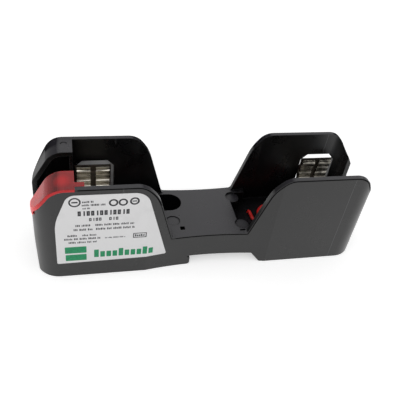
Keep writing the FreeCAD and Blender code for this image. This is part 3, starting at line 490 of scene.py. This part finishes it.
def moulding_finish(name, base):
    """Satin black moulding: fine grain; on open tops a pale tone, partly a dusting and partly a painted
    sheen; lighter edges, partly wear and partly a painted highlight; painted shade in its corners, hollows
    and upper edges, where reflection is taken out.
    """
    values = finishes()
    finish = Finish(name, base, values.moulding_roughness)
    rounded, edge = finish.edges(0.4 * MM)
    hollow = finish.share(finish.open_share(HOLLOW_REACH), 0.61, 0.86)
    crevice = finish.share(finish.open_share(CREVICE_REACH), 0.45, 0.85)
    cloud = finish.share(finish.noise(38.0, 4.0), 0.35, 0.65)
    body = finish.blend(cloud, tinted(base, 0.85), tinted(base, 1.2))
    # Pale tone on open upward faces, fading in hollows: partly a dusting, partly a painted sheen
    top = finish.times(finish.upward(), hollow)
    dusted_and_sheened = finish.blend(top, body, values.dust_and_sheen)
    specks = finish.ranged(finish.noise(1500.0, 2.0), 0.68, 0.80, 0.0, 0.5)
    specked = finish.blend(finish.times(specks, top), dusted_and_sheened, values.specks)
    # Lighter edges in patches: partly wear, partly a painted edge highlight
    worn_and_highlit = finish.blend(finish.times(edge, finish.noise(160.0)), specked, values.worn_and_highlit)
    lines = finish.larger(*(finish.upright_line(x, foot) for x, foot in WITNESS_LINES))
    witness = finish.times(finish.times(lines, finish.frontward()), hollow)
    finish.colour_from(finish.blend(witness, worn_and_highlit, values.witness))
    roughness = values.moulding_roughness
    finish.roughness_between(finish.noise(90.0, 5.0), roughness - 0.06, roughness + 0.06)
    # Painted shade: reflection is taken out of the hollows and crevices
    open_face = finish.times(hollow, crevice)
    shine = finish.ranged(open_face, 0.0, 1.0, PAINTED_SHADE_SHINE, values.moulding_shine)
    finish.varied("Specular IOR Level", finish.times(shine, finish.gloss_after_painted_shade()))
    finish.bump(finish.noise(2600.0, 2.0), values.moulding_grain, 0.3, rounded)
    return finish.material


def plated_finish(name, base, roughness, streaks=LEVEL_STREAKS, stain=0.55, swell=0.0):
    """Bright metal with rolling marks, dull stains and lighter worn edges, and level swells of a given
    height.
    """
    finish = Finish(name, base, roughness, metallic=1.0)
    rounded, edge = finish.edges(0.18 * MM)
    lines = finish.noise(1.0, 4.0, finish.stretched(streaks))
    cloud = finish.share(finish.noise(220.0, 5.0), 0.42, 0.66)
    stained = finish.blend(cloud, base, tinted(base, stain))
    finish.colour_from(finish.blend(edge, stained, tinted(base, 1.25)))
    finish.roughness_between(lines, roughness - 0.08, roughness + 0.14)
    if swell:
        bands = finish.wave(Scale=SWELL_SCALE, Distortion=1.2, bands_direction="Z")
        rounded = finish.raised(bands, swell, 1.0, rounded)
    finish.bump(lines, 0.01 * MM, 0.35, rounded)
    return finish.material


def make_piece(name, mesh, material):
    """Object of a finished bmesh, outward facing, that rides on the housing."""
    bmesh.ops.recalc_face_normals(mesh, faces=mesh.faces)
    data = bpy.data.meshes.new(name)
    mesh.to_mesh(data)
    mesh.free()
    data.materials.append(material)
    piece = bpy.data.objects.new(name, data)
    bpy.context.scene.collection.objects.link(piece)
    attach(piece, "housing")
    return piece


def dress(names, material):
    """Gives CAD nodes a material."""
    for name in names:
        node = NODES[name]
        node.data.materials.clear()
        node.data.materials.append(material)


class FUSEBLOCK_OT_moulding(Operator):
    """Black satin finish on the base and the rail latch"""

    bl_idname = "fuseblock.moulding"
    bl_label = "Finish the mouldings"

    def execute(self, context):
        dress(["base"], moulding_finish("moulding", finishes().moulding))
        dress(["rail_latch"], moulding_finish("latch_moulding", tinted(finishes().moulding, 1.3)))
        return {"FINISHED"}


class FUSEBLOCK_OT_clips(Operator):
    """Tin on the fuse clips and the leads' tags, the right clip's tin darker with painted reflections, and
    dark metal on the springs, partly blackened and partly painted shade
    """

    bl_idname = "fuseblock.clips"
    bl_label = "Finish the clips"

    def execute(self, context):
        values = finishes()
        tin = plated_finish("clip_tin", values.tin, 0.26, swell=values.clip_swell)
        dress(["left_clip", "lead_tags"], tin)
        # Right clip: the tin made darker, with strong dark patches that are painted reflections
        tin_with_painted_reflections = plated_finish("tin_with_painted_reflections", tinted(values.tin, 0.72), 0.24, stain=0.22,
                                 swell=values.worn_swell)
        dress(["right_clip"], tin_with_painted_reflections)
        # Springs: dark metal, partly blackened steel and partly painted shade
        blackened_and_shaded_steel = plated_finish("spring_steel", values.blackened_and_shaded_steel, 0.34, CROSS_STREAKS, stain=0.7)
        dress(["left_clip_spring", "right_clip_spring", "latch_spring"], blackened_and_shaded_steel)
        return {"FINISHED"}


class FUSEBLOCK_OT_latch_spring(Operator):
    """Round-wire coil spring wound in the latch spring's place, whose part is hidden"""

    bl_idname = "fuseblock.latch_spring"
    bl_label = "Wind the latch spring"

    def execute(self, context):
        low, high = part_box("latch_spring")
        middle = (low + high) / 2
        length = high.x - low.x
        wire = block_sizes().spring_wire
        turns = block_sizes().spring_turns
        steps = turns * COIL_STEPS
        start = Matrix.Translation((low.x + wire / 2, middle.y, high.z - wire / 2))
        upright = Matrix.Rotation(math.pi / 2, 4, "X")
        mesh = bmesh.new()
        bmesh.ops.create_circle(mesh, radius=wire / 2, segments=WIRE_SIDES, matrix=start @ upright)
        bmesh.ops.spin(mesh, geom=mesh.verts[:] + mesh.edges[:], cent=middle, axis=(1, 0, 0),
                       dvec=((length - wire) / steps, 0, 0), angle=2 * math.pi * turns, steps=steps,
                       use_merge=False, use_duplicate=False)
        bmesh.ops.holes_fill(mesh, edges=mesh.edges[:], sides=0)
        piece = make_piece("latch_coil", mesh, bpy.data.materials["spring_steel"])
        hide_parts("latch_spring")
        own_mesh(piece)
        return {"FINISHED"}


class FUSEBLOCK_OT_terminals(Operator):
    """Plated lugs, screws, pads and the rejection plate"""

    bl_idname = "fuseblock.terminals"
    bl_label = "Finish the terminals"

    def execute(self, context):
        lug = plated_finish("lug_aluminium", finishes().aluminium, 0.38, UPRIGHT_STREAKS, stain=0.75)
        dress(["left_lug", "right_lug"], lug)
        zinc = plated_finish("zinc_plate", finishes().zinc, 0.30, EVEN_GRAIN, stain=0.8)
        dress(["left_lug_screw", "right_lug_screw", "left_pressure_pad", "right_pressure_pad",
               "clip_screws", "rejection_plate"], zinc)
        return {"FINISHED"}


def resin_finish(name, base, roughness, painted_glow):
    """See-through plastic with faint flow marks, painted shade on its curve, and a painted glow at its
    edges, its front, its thin end and over the lamp.
    """
    finish = Finish(name, base, roughness)
    finish.even("Transmission Weight", 0.5)
    finish.even("IOR", RESIN_IOR)
    finish.even("Emission Color", (*base, 1.0))
    rounded, edge = finish.edges(0.35 * MM)
    cloud = finish.share(finish.noise(90.0, 3.0), 0.3, 0.7)
    # Painted shade: the curve is made darker and reflects less
    curve = finish.curved()
    clear = finish.blend(cloud, tinted(base, 0.8), base)
    finish.colour_from(finish.blend(curve, clear, tinted(base, 0.4)))
    finish.varied("Specular IOR Level", finish.ranged(curve, 0.0, 1.0, 0.28, 0.01))
    finish.roughness_between(finish.noise(200.0, 3.0), roughness - 0.04, roughness + 0.06)
    # Painted glow, standing in for light coming through the plastic: at the edges, the front, the thin end
    # and a spot over the lamp
    tip = finish.ranged(finish.parts_of(finish.place)[0], *TIP_REACH, 0.0, PAINTED_TIP_GLOW)
    low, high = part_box("indicator_lamp")
    over_lamp = ((low.x + high.x) / 2, (low.y + high.y) / 2 - LAMP_GLOW_SHIFT, CAD_BOX[1][2])
    spot = finish.times(finish.glow_round(over_lamp, LAMP_GLOW_REACH), PAINTED_LAMP_GLOW)
    painted_glow_share = finish.larger(finish.larger(edge, finish.frontward()), finish.larger(tip, spot))
    finish.varied("Emission Strength", finish.times(painted_glow_share, painted_glow))
    finish.bump(finish.noise(160.0, 2.0), 0.02 * MM, 0.3, rounded)
    return finish.material


def board_finish(base):
    """Green solder mask over a faint weave."""
    finish = Finish("board_mask", base, 0.35)
    weave = finish.noise(1.0, 1.0, finish.stretched((1800.0, 300.0, 1800.0)))
    finish.colour_from(finish.blend(weave, tinted(base, 0.7), tinted(base, 1.4)))
    finish.bump(weave, 0.01 * MM, 0.4)
    return finish.material


def resistor_finish(base, ring):
    """Lacquered body with plain rings of colour along X."""
    finish = Finish("resistor_lacquer", base, 0.3)
    rings = finish.share(finish.wave(Scale=95.0), 0.75, 0.8)
    finish.colour_from(finish.blend(rings, base, ring))
    finish.bump(finish.noise(900.0), 0.01 * MM, 0.3)
    return finish.material


class FUSEBLOCK_OT_indicator(Operator):
    """Red cover, lamp, board and resistor"""

    bl_idname = "fuseblock.indicator"
    bl_label = "Finish the indicator"

    def execute(self, context):
        values = finishes()
        dress(["indicator_cover"], resin_finish("cover_resin", values.cover, 0.18, painted_glow=0.35))
        dress(["indicator_lamp"], resin_finish("lamp_resin", values.lamp, 0.12, painted_glow=0.1))
        dress(["indicator_board"], board_finish(values.board))
        dress(["indicator_resistor"], resistor_finish(values.resistor, values.resistor_ring))
        return {"FINISHED"}


def insulation_finish(base):
    """Soft insulation with a faint unevenness."""
    finish = Finish("lead_insulation", base, 0.4)
    cloud = finish.noise(500.0, 3.0)
    finish.colour_from(finish.blend(cloud, tinted(base, 0.8), tinted(base, 1.15)))
    finish.roughness_between(cloud, 0.34, 0.5)
    finish.bump(finish.noise(1800.0), 0.02 * MM, 0.4)
    return finish.material


class FUSEBLOCK_OT_leads(Operator):
    """Red soft insulation on the leads"""

    bl_idname = "fuseblock.leads"
    bl_label = "Finish the leads"

    def execute(self, context):
        dress(["long_lead", "short_lead"], insulation_finish(finishes().lead))
        return {"FINISHED"}


def paper_finish(base):
    """White satin label with a faint fibre and a few grey marks."""
    finish = Finish("label_paper", base, 0.45)
    fibre = finish.noise(2400.0, 3.0)
    marks = finish.share(finish.noise(120.0, 4.0), 0.55, 0.75)
    finish.colour_from(finish.blend(marks, base, tinted(base, 0.94)))
    finish.roughness_between(fibre, 0.4, 0.5)
    finish.bump(fibre, 0.01 * MM, 0.3)
    return finish.material


class FUSEBLOCK_OT_labels(Operator):
    """White satin finish on both labels"""

    bl_idname = "fuseblock.labels"
    bl_label = "Finish the labels"

    def execute(self, context):
        dress(["front_label", "rear_label"], paper_finish(finishes().label))
        return {"FINISHED"}


def wall_half(x):
    """Half width of the block's outside at this X, in millimetres."""
    if abs(x) > CORNER_START:
        return WALL_HALF - CORNER_RADIUS + math.sqrt(CORNER_RADIUS ** 2 - (abs(x) - CORNER_START) ** 2)
    if abs(x) >= WAIST_REACH:
        return WALL_HALF
    sag = WALL_HALF - WAIST_HALF
    radius = (WAIST_REACH ** 2 + sag ** 2) / (2 * sag)
    return WAIST_HALF + radius - math.sqrt(radius ** 2 - x ** 2)


def rounded_path(corners):
    """Points of a line whose corners are rounded by their third number."""
    points = [Vector(corners[0][:2])]
    for before, corner, after in zip(corners, corners[1:], corners[2:]):
        here = Vector(corner[:2])
        radius = corner[2]
        if not radius:
            points.append(here)
            continue
        back = (Vector(before[:2]) - here).normalized()
        ahead = (Vector(after[:2]) - here).normalized()
        half_angle = back.angle(ahead) / 2
        centre = here + (back + ahead).normalized() * radius / math.sin(half_angle)
        start = here + back * radius / math.tan(half_angle) - centre
        end = here + ahead * radius / math.tan(half_angle) - centre
        for step in range(ARC_STEPS + 1):
            share = step / ARC_STEPS
            points.append(centre + (start * (1 - share) + end * share).normalized() * radius)
    points.append(Vector(corners[-1][:2]))
    return points


def evenly_spaced(points, spacing):
    """The same line with no two points further apart than the spacing."""
    fine = [points[0]]
    for start, end in zip(points, points[1:]):
        count = max(1, math.ceil((end - start).length / spacing))
        fine += [start.lerp(end, step / count) for step in range(1, count + 1)]
    return fine


class Print:
    """Thin flat shapes in the plane of a side wall, in millimetres, laid on the wall at the end."""

    # Small print: bar widths, bar heights and gaps as shares of the row's height, and bars in a group
    bar_widths = (0.28, 0.5)
    bar_heights = (1.0, 1.0, 0.78)
    bar_gap = 0.2
    group_gap = 0.5
    group_sizes = (3, 6)

    # Row of boxes: line as a share of the row's height, box width and a bar's place as shares of the step
    box_line = 0.23
    box_width = 0.72
    bar_place = 0.3

    # Sides of a ring, and steps round a rounded corner
    ring_sides = 40
    corner_steps = 5

    def __init__(self):
        self.mesh = bmesh.new()

    def plate(self, left, right, bottom, top, round_by=0.0):
        """Filled rectangle, with round corners if asked."""
        places = ((left, bottom), (right, bottom), (right, top), (left, top))
        corners = [self.mesh.verts.new((x, 0.0, z)) for x, z in places]
        face = self.mesh.faces.new(corners)
        if round_by:
            bmesh.ops.bevel(self.mesh, geom=corners, offset=round_by, offset_type="OFFSET",
                            affect="VERTICES", segments=self.corner_steps, profile=0.5, material=-1)
        return face

    def outline(self, face, line):
        """Keeps only a line of this width along the inside of a face's edge."""
        face.normal_update()
        bmesh.ops.inset_region(self.mesh, faces=[face], thickness=line, use_even_offset=True,
                               use_boundary=True)
        bmesh.ops.delete(self.mesh, geom=[face], context="FACES")

    def frame(self, left, right, bottom, top, line):
        """Outline of a rectangle."""
        self.outline(self.plate(left, right, bottom, top), line)

    def ring(self, x, z, radius, line):
        """Round outline."""
        turn = Matrix.Translation((x, 0, z)) @ Matrix.Rotation(math.pi / 2, 4, "X")
        made = bmesh.ops.create_circle(self.mesh, cap_ends=True, radius=radius, segments=self.ring_sides,
                                       matrix=turn)
        self.outline(made["verts"][0].link_faces[0], line)

    def words(self, left, right, base, height, dice):
        """Row of short upright bars in groups, standing in for a line of small print."""
        x = left
        group = dice.randint(*self.group_sizes)
        while x < right:
            width = height * dice.uniform(*self.bar_widths)
            rise = height * dice.choice(self.bar_heights)
            self.plate(x, min(x + width, right), base, base + rise)
            x += width + height * self.bar_gap
            group -= 1
            if group == 0:
                x += height * self.group_gap
                group = dice.randint(*self.group_sizes)

    def boxes(self, left, right, base, height, count):
        """Row of small upright boxes drawn in outline, with a plain bar in place of every third."""
        step = (right - left) / count
        line = height * self.box_line
        for index in range(count):
            x = left + step * index
            if index % 3 == 1:
                bar = x + step * self.bar_place
                self.plate(bar, bar + line, base, base + height)
            else:
                self.frame(x, x + step * self.box_width, base, base + height, line)

    def ribbon(self, path, drop, width):
        """Band of even width that follows a path from left to right, drop below it."""
        rows = []
        for index, point in enumerate(path):
            along = path[min(index + 1, len(path) - 1)] - path[max(index - 1, 0)]
            down = Vector((along.y, -along.x)).normalized()
            pair = [point + down * (drop + width * share) for share in (-0.5, 0.5)]
            rows.append([self.mesh.verts.new((place.x, 0.0, place.y)) for place in pair])
        for (top, low), (next_top, next_low) in zip(rows, rows[1:]):
            self.mesh.faces.new((low, next_low, next_top, top))

    def cut(self, place, direction, drop_beyond=False):
        """Splits the shapes along a plane, and drops what lies beyond it if asked."""
        geometry = self.mesh.verts[:] + self.mesh.edges[:] + self.mesh.faces[:]
        bmesh.ops.bisect_plane(self.mesh, geom=geometry, dist=0.0001, plane_co=place, plane_no=direction,
                               clear_outer=drop_beyond)

    def thicken(self, side):
        """Gives the flat shapes the print's thickness towards a side."""
        made = bmesh.ops.extrude_face_region(self.mesh, geom=self.mesh.faces[:])
        raised = [item for item in made["geom"] if isinstance(item, bmesh.types.BMVert)]
        bmesh.ops.translate(self.mesh, verts=raised, vec=(0.0, block_sizes().print_sheet / MM * side, 0.0))

    def on_wall(self, side=-1, lift=LABEL_SHEET):
        """Thickens the shapes and bends them to a side wall."""
        for x in BEND_SPLITS:
            self.cut((x, 0, 0), (1, 0, 0))
        self.thicken(side)
        for vertex in self.mesh.verts:
            vertex.co.y += (wall_half(vertex.co.x) + lift) * side

    def on_top(self, centre, height):
        """Thickens the shapes and lays them flat, facing up."""
        self.thicken(-1)
        bmesh.ops.rotate(self.mesh, verts=self.mesh.verts, matrix=Matrix.Rotation(-math.pi / 2, 3, "X"))
        bmesh.ops.translate(self.mesh, verts=self.mesh.verts, vec=(*centre, height))

    def finish(self, name, material, slot):
        """Makes the piece and rides it on the housing."""
        bmesh.ops.scale(self.mesh, verts=self.mesh.verts, vec=(MM, MM, MM))
        make_piece(name, self.mesh, material)


def ink_finish(name, base):
    """Thin print with slightly uneven cover."""
    finish = Finish(name, base, 0.5)
    finish.even("Specular IOR Level", 0.25)
    uneven = finish.share(finish.noise(1500.0, 3.0), 0.35, 0.75)
    finish.colour_from(finish.blend(uneven, base, tinted(base, 1.5)))
    finish.bump(uneven, 0.005 * MM, 0.3)
    return finish.material


class FUSEBLOCK_OT_print(Operator):
    """Plain rows, rings and fields of colour on the front label"""

    bl_idname = "fuseblock.print"
    bl_label = "Print the label"

    def execute(self, context):
        dice = random.Random(PRINT_SEED)
        dark = Print()
        for ring in LABEL_RINGS:
            dark.ring(*ring)
        for bar in RING_BARS:
            dark.plate(*bar)
        for row in BOX_ROWS:
            dark.boxes(*row)
        for row in PRINT_ROWS:
            dark.words(*row, dice)
        dark.frame(*SMALL_BOX, SMALL_BOX_LINE)
        dark.on_wall()
        dark.finish("label_rows", ink_finish("label_ink", finishes().ink), "label_paper")
        green = Print()
        for field in FIELDS:
            green.plate(*field, FIELD_ROUNDING)
        for index in range(GREEN_BARS):
            left = GREEN_BAR_START + GREEN_BAR_STEP * index
            top = GREEN_BAR_TOP if index % TALL_BAR_EVERY else TALL_BAR_TOP
            green.plate(left, left + GREEN_BAR_WIDTH, GREEN_BAR_FOOT, top, GREEN_BAR_ROUNDING)
        green.on_wall()
        green.finish("label_band", ink_finish("label_green", finishes().band), "label_paper")
        return {"FINISHED"}


def shadow_and_mark_finish(base, dust_and_sheen):
    """Dull black of the narrow painted shadow lines and of the hood mark, with a little lighter tone mixed
    in.
    """
    finish = Finish("shadow_and_mark_black", base, 0.9)
    finish.even("Specular IOR Level", 0.05)
    uneven = finish.noise(700.0, 3.0)
    finish.colour_from(finish.blend(uneven, base, dust_and_sheen))
    finish.bump(uneven, 0.01 * MM, 0.3)
    return finish.material


class FUSEBLOCK_OT_shadow_lines(Operator):
    """Painted shadow line just under the upper edges of both side walls, and a small arc mark on the hood"""

    bl_idname = "fuseblock.seams"
    bl_label = "Draw the shadow_lines"

    def execute(self, context):
        left_half = tuple((-x, z, radius) for x, z, radius in reversed(CROWN))
        whole = evenly_spaced(rounded_path(left_half + CROWN), SHADOW_LINE_SPACING)
        drop = block_sizes().shadow_line_drop / MM
        width = block_sizes().shadow_line_width / MM
        material = shadow_and_mark_finish(finishes().seam, finishes().shadow_line_dust)
        # On each side wall a dark strip is laid as a painted shadow under the upper edge
        for name, side, stretches in (("front_shadow_line", -1, FRONT_SHADOW_LINES), ("back_shadow_line", 1, BACK_SHADOW_LINES)):
            seam = Print()
            for start, end in stretches:
                seam.ribbon([point for point in whole if start <= point.x <= end], drop, width)
            seam.on_wall(side, 0.0)
            seam.finish(name, material, "moulding")
        arc = Print()
        arc.ring(0.0, 0.0, MARK_RADIUS, MARK_LINE)
        arc.cut((0, 0, MARK_CUT), (0, 0, -1), drop_beyond=True)
        arc.on_top(MARK_PLACE, HOOD_TOP)
        arc.finish("hood_mark", material, "moulding")
        return {"FINISHED"}


def area_light(name, place, side, power):
    """Square soft light that looks at the block's middle."""
    data = bpy.data.lights.new(name, "AREA")
    data.shape = "SQUARE"
    data.size = side
    data.energy = power
    lamp = bpy.data.objects.new(name, data)
    bpy.context.scene.collection.objects.link(lamp)
    turn = (Vector(LIGHT_TARGET) - Vector(place)).to_track_quat("-Z", "Y").to_matrix().to_4x4()
    lamp.matrix_world = Matrix.Translation(place) @ turn


def white_where_seen(tree, shown, lit):
    """Mixes two shaders: shown for camera, glossy and see-through rays, lit for the rest."""
    path = tree.nodes.new("ShaderNodeLightPath")
    socket = path.outputs["Is Camera Ray"]
    for name in ("Is Glossy Ray", "Is Transmission Ray"):
        larger = tree.nodes.new("ShaderNodeMath")
        larger.operation = "MAXIMUM"
        tree.links.new(socket, larger.inputs[0])
        tree.links.new(path.outputs[name], larger.inputs[1])
        socket = larger.outputs["Value"]
    mix = tree.nodes.new("ShaderNodeMixShader")
    tree.links.new(socket, mix.inputs["Fac"])
    tree.links.new(lit, mix.inputs[1])
    tree.links.new(shown, mix.inputs[2])
    return mix.outputs["Shader"]


def make_world(strength):
    """White where it is seen, softer where it only lights."""
    world = bpy.data.worlds.new("studio")
    bpy.context.scene.world = world
    world.use_nodes = True
    tree = world.node_tree
    lit = tree.nodes["Background"]
    lit.inputs["Color"].default_value = WHITE
    lit.inputs["Strength"].default_value = strength
    shown = tree.nodes.new("ShaderNodeBackground")
    shown.inputs["Color"].default_value = WHITE
    shown.inputs["Strength"].default_value = 1.0
    surface = white_where_seen(tree, shown.outputs["Background"], lit.outputs["Background"])
    tree.links.new(surface, tree.nodes["World Output"].inputs["Surface"])


def make_floor(base, lift):
    """Large pale floor that keeps the block's soft shadow."""
    mesh = bmesh.new()
    bmesh.ops.create_grid(mesh, x_segments=1, y_segments=1, size=FLOOR_REACH)
    data = bpy.data.meshes.new("floor")
    mesh.to_mesh(data)
    mesh.free()
    floor = bpy.data.objects.new("floor", data)
    bpy.context.scene.collection.objects.link(floor)
    floor.location.z = -FLOOR_DROP
    finish = Finish("floor_paint", base, 0.9)
    tree = finish.material.node_tree
    glow = tree.nodes.new("ShaderNodeEmission")
    glow.inputs["Strength"].default_value = lift
    added = tree.nodes.new("ShaderNodeAddShader")
    tree.links.new(finish.shader.outputs["BSDF"], added.inputs[0])
    tree.links.new(glow.outputs["Emission"], added.inputs[1])
    surface = white_where_seen(tree, added.outputs["Shader"], finish.shader.outputs["BSDF"])
    tree.links.new(surface, tree.nodes["Material Output"].inputs["Surface"])
    data.materials.append(finish.material)


def make_camera(stage):
    """Camera at the photograph's angle, rolled a little."""
    yaw = stage.camera_yaw
    pitch = stage.camera_pitch
    roll = stage.camera_roll
    forward = Vector((math.sin(yaw) * math.cos(pitch), math.cos(yaw) * math.cos(pitch), -math.sin(pitch)))
    level = Vector((math.cos(yaw), -math.sin(yaw), 0.0))
    upright = level.cross(forward)
    right = level * math.cos(roll) + upright * math.sin(roll)
    up = upright * math.cos(roll) - level * math.sin(roll)
    data = bpy.data.cameras.new("camera")
    data.sensor_fit = "HORIZONTAL"
    data.sensor_width = SENSOR
    data.lens = stage.focal_pixels / IMAGE_SIDE * SENSOR
    camera = bpy.data.objects.new("camera", data)
    bpy.context.scene.collection.objects.link(camera)
    turn = Matrix((right, up, -forward)).transposed().to_4x4()
    camera.matrix_world = Matrix.Translation(stage.camera_place) @ turn
    bpy.context.scene.camera = camera


class FUSEBLOCK_OT_stage(Operator):
    """Floor, world, lights and camera"""

    bl_idname = "fuseblock.stage"
    bl_label = "Set the stage"

    def execute(self, context):
        stage = context.scene.block_stage
        context.scene.view_settings.view_transform = "Standard"
        make_world(stage.world_light)
        make_floor(stage.floor, stage.floor_glow)
        area_light("key", KEY_PLACE, KEY_SIDE, stage.key_power)
        area_light("fill", FILL_PLACE, FILL_SIDE, stage.fill_power)
        make_camera(stage)
        return {"FINISHED"}


STEPS = (
    FUSEBLOCK_OT_stage,
    FUSEBLOCK_OT_moulding,
    FUSEBLOCK_OT_clips,
    FUSEBLOCK_OT_latch_spring,
    FUSEBLOCK_OT_terminals,
    FUSEBLOCK_OT_indicator,
    FUSEBLOCK_OT_leads,
    FUSEBLOCK_OT_labels,
    FUSEBLOCK_OT_print,
    FUSEBLOCK_OT_shadow_lines,
)


class FUSEBLOCK_PT_panel(Panel):
    """Fuse block steps and their values"""

    bl_label = "Fuse block"
    bl_space_type = "VIEW_3D"
    bl_region_type = "UI"
    bl_category = "Fuse block"

    def draw(self, context):
        for step in STEPS:
            self.layout.operator(step.bl_idname)
        for group in (block_sizes(), finishes(), context.scene.block_stage):
            column = self.layout.column()
            for name in group.bl_rna.properties.keys():
                if name not in ("rna_type", "name"):
                    column.prop(group, name)


CLASSES = (BlockSizes, BlockFinishes, StageSettings) + STEPS + (FUSEBLOCK_PT_panel,)


def register():
    """Registers the classes and hangs the settings on the scene."""
    for item in CLASSES:
        bpy.utils.register_class(item)
    bpy.types.Scene.block_sizes = PointerProperty(type=BlockSizes)
    bpy.types.Scene.block_finishes = PointerProperty(type=BlockFinishes)
    bpy.types.Scene.block_stage = PointerProperty(type=StageSettings)


def unregister():
    """Takes the settings and classes off again."""
    del bpy.types.Scene.block_stage
    del bpy.types.Scene.block_finishes
    del bpy.types.Scene.block_sizes
    for item in reversed(CLASSES):
        bpy.utils.unregister_class(item)


def main():
    """Runs every step in order."""
    register()
    for step in STEPS:
        group, name = step.bl_idname.split(".")
        getattr(getattr(bpy.ops, group), name)()


if __name__ == "__main__":
    main()
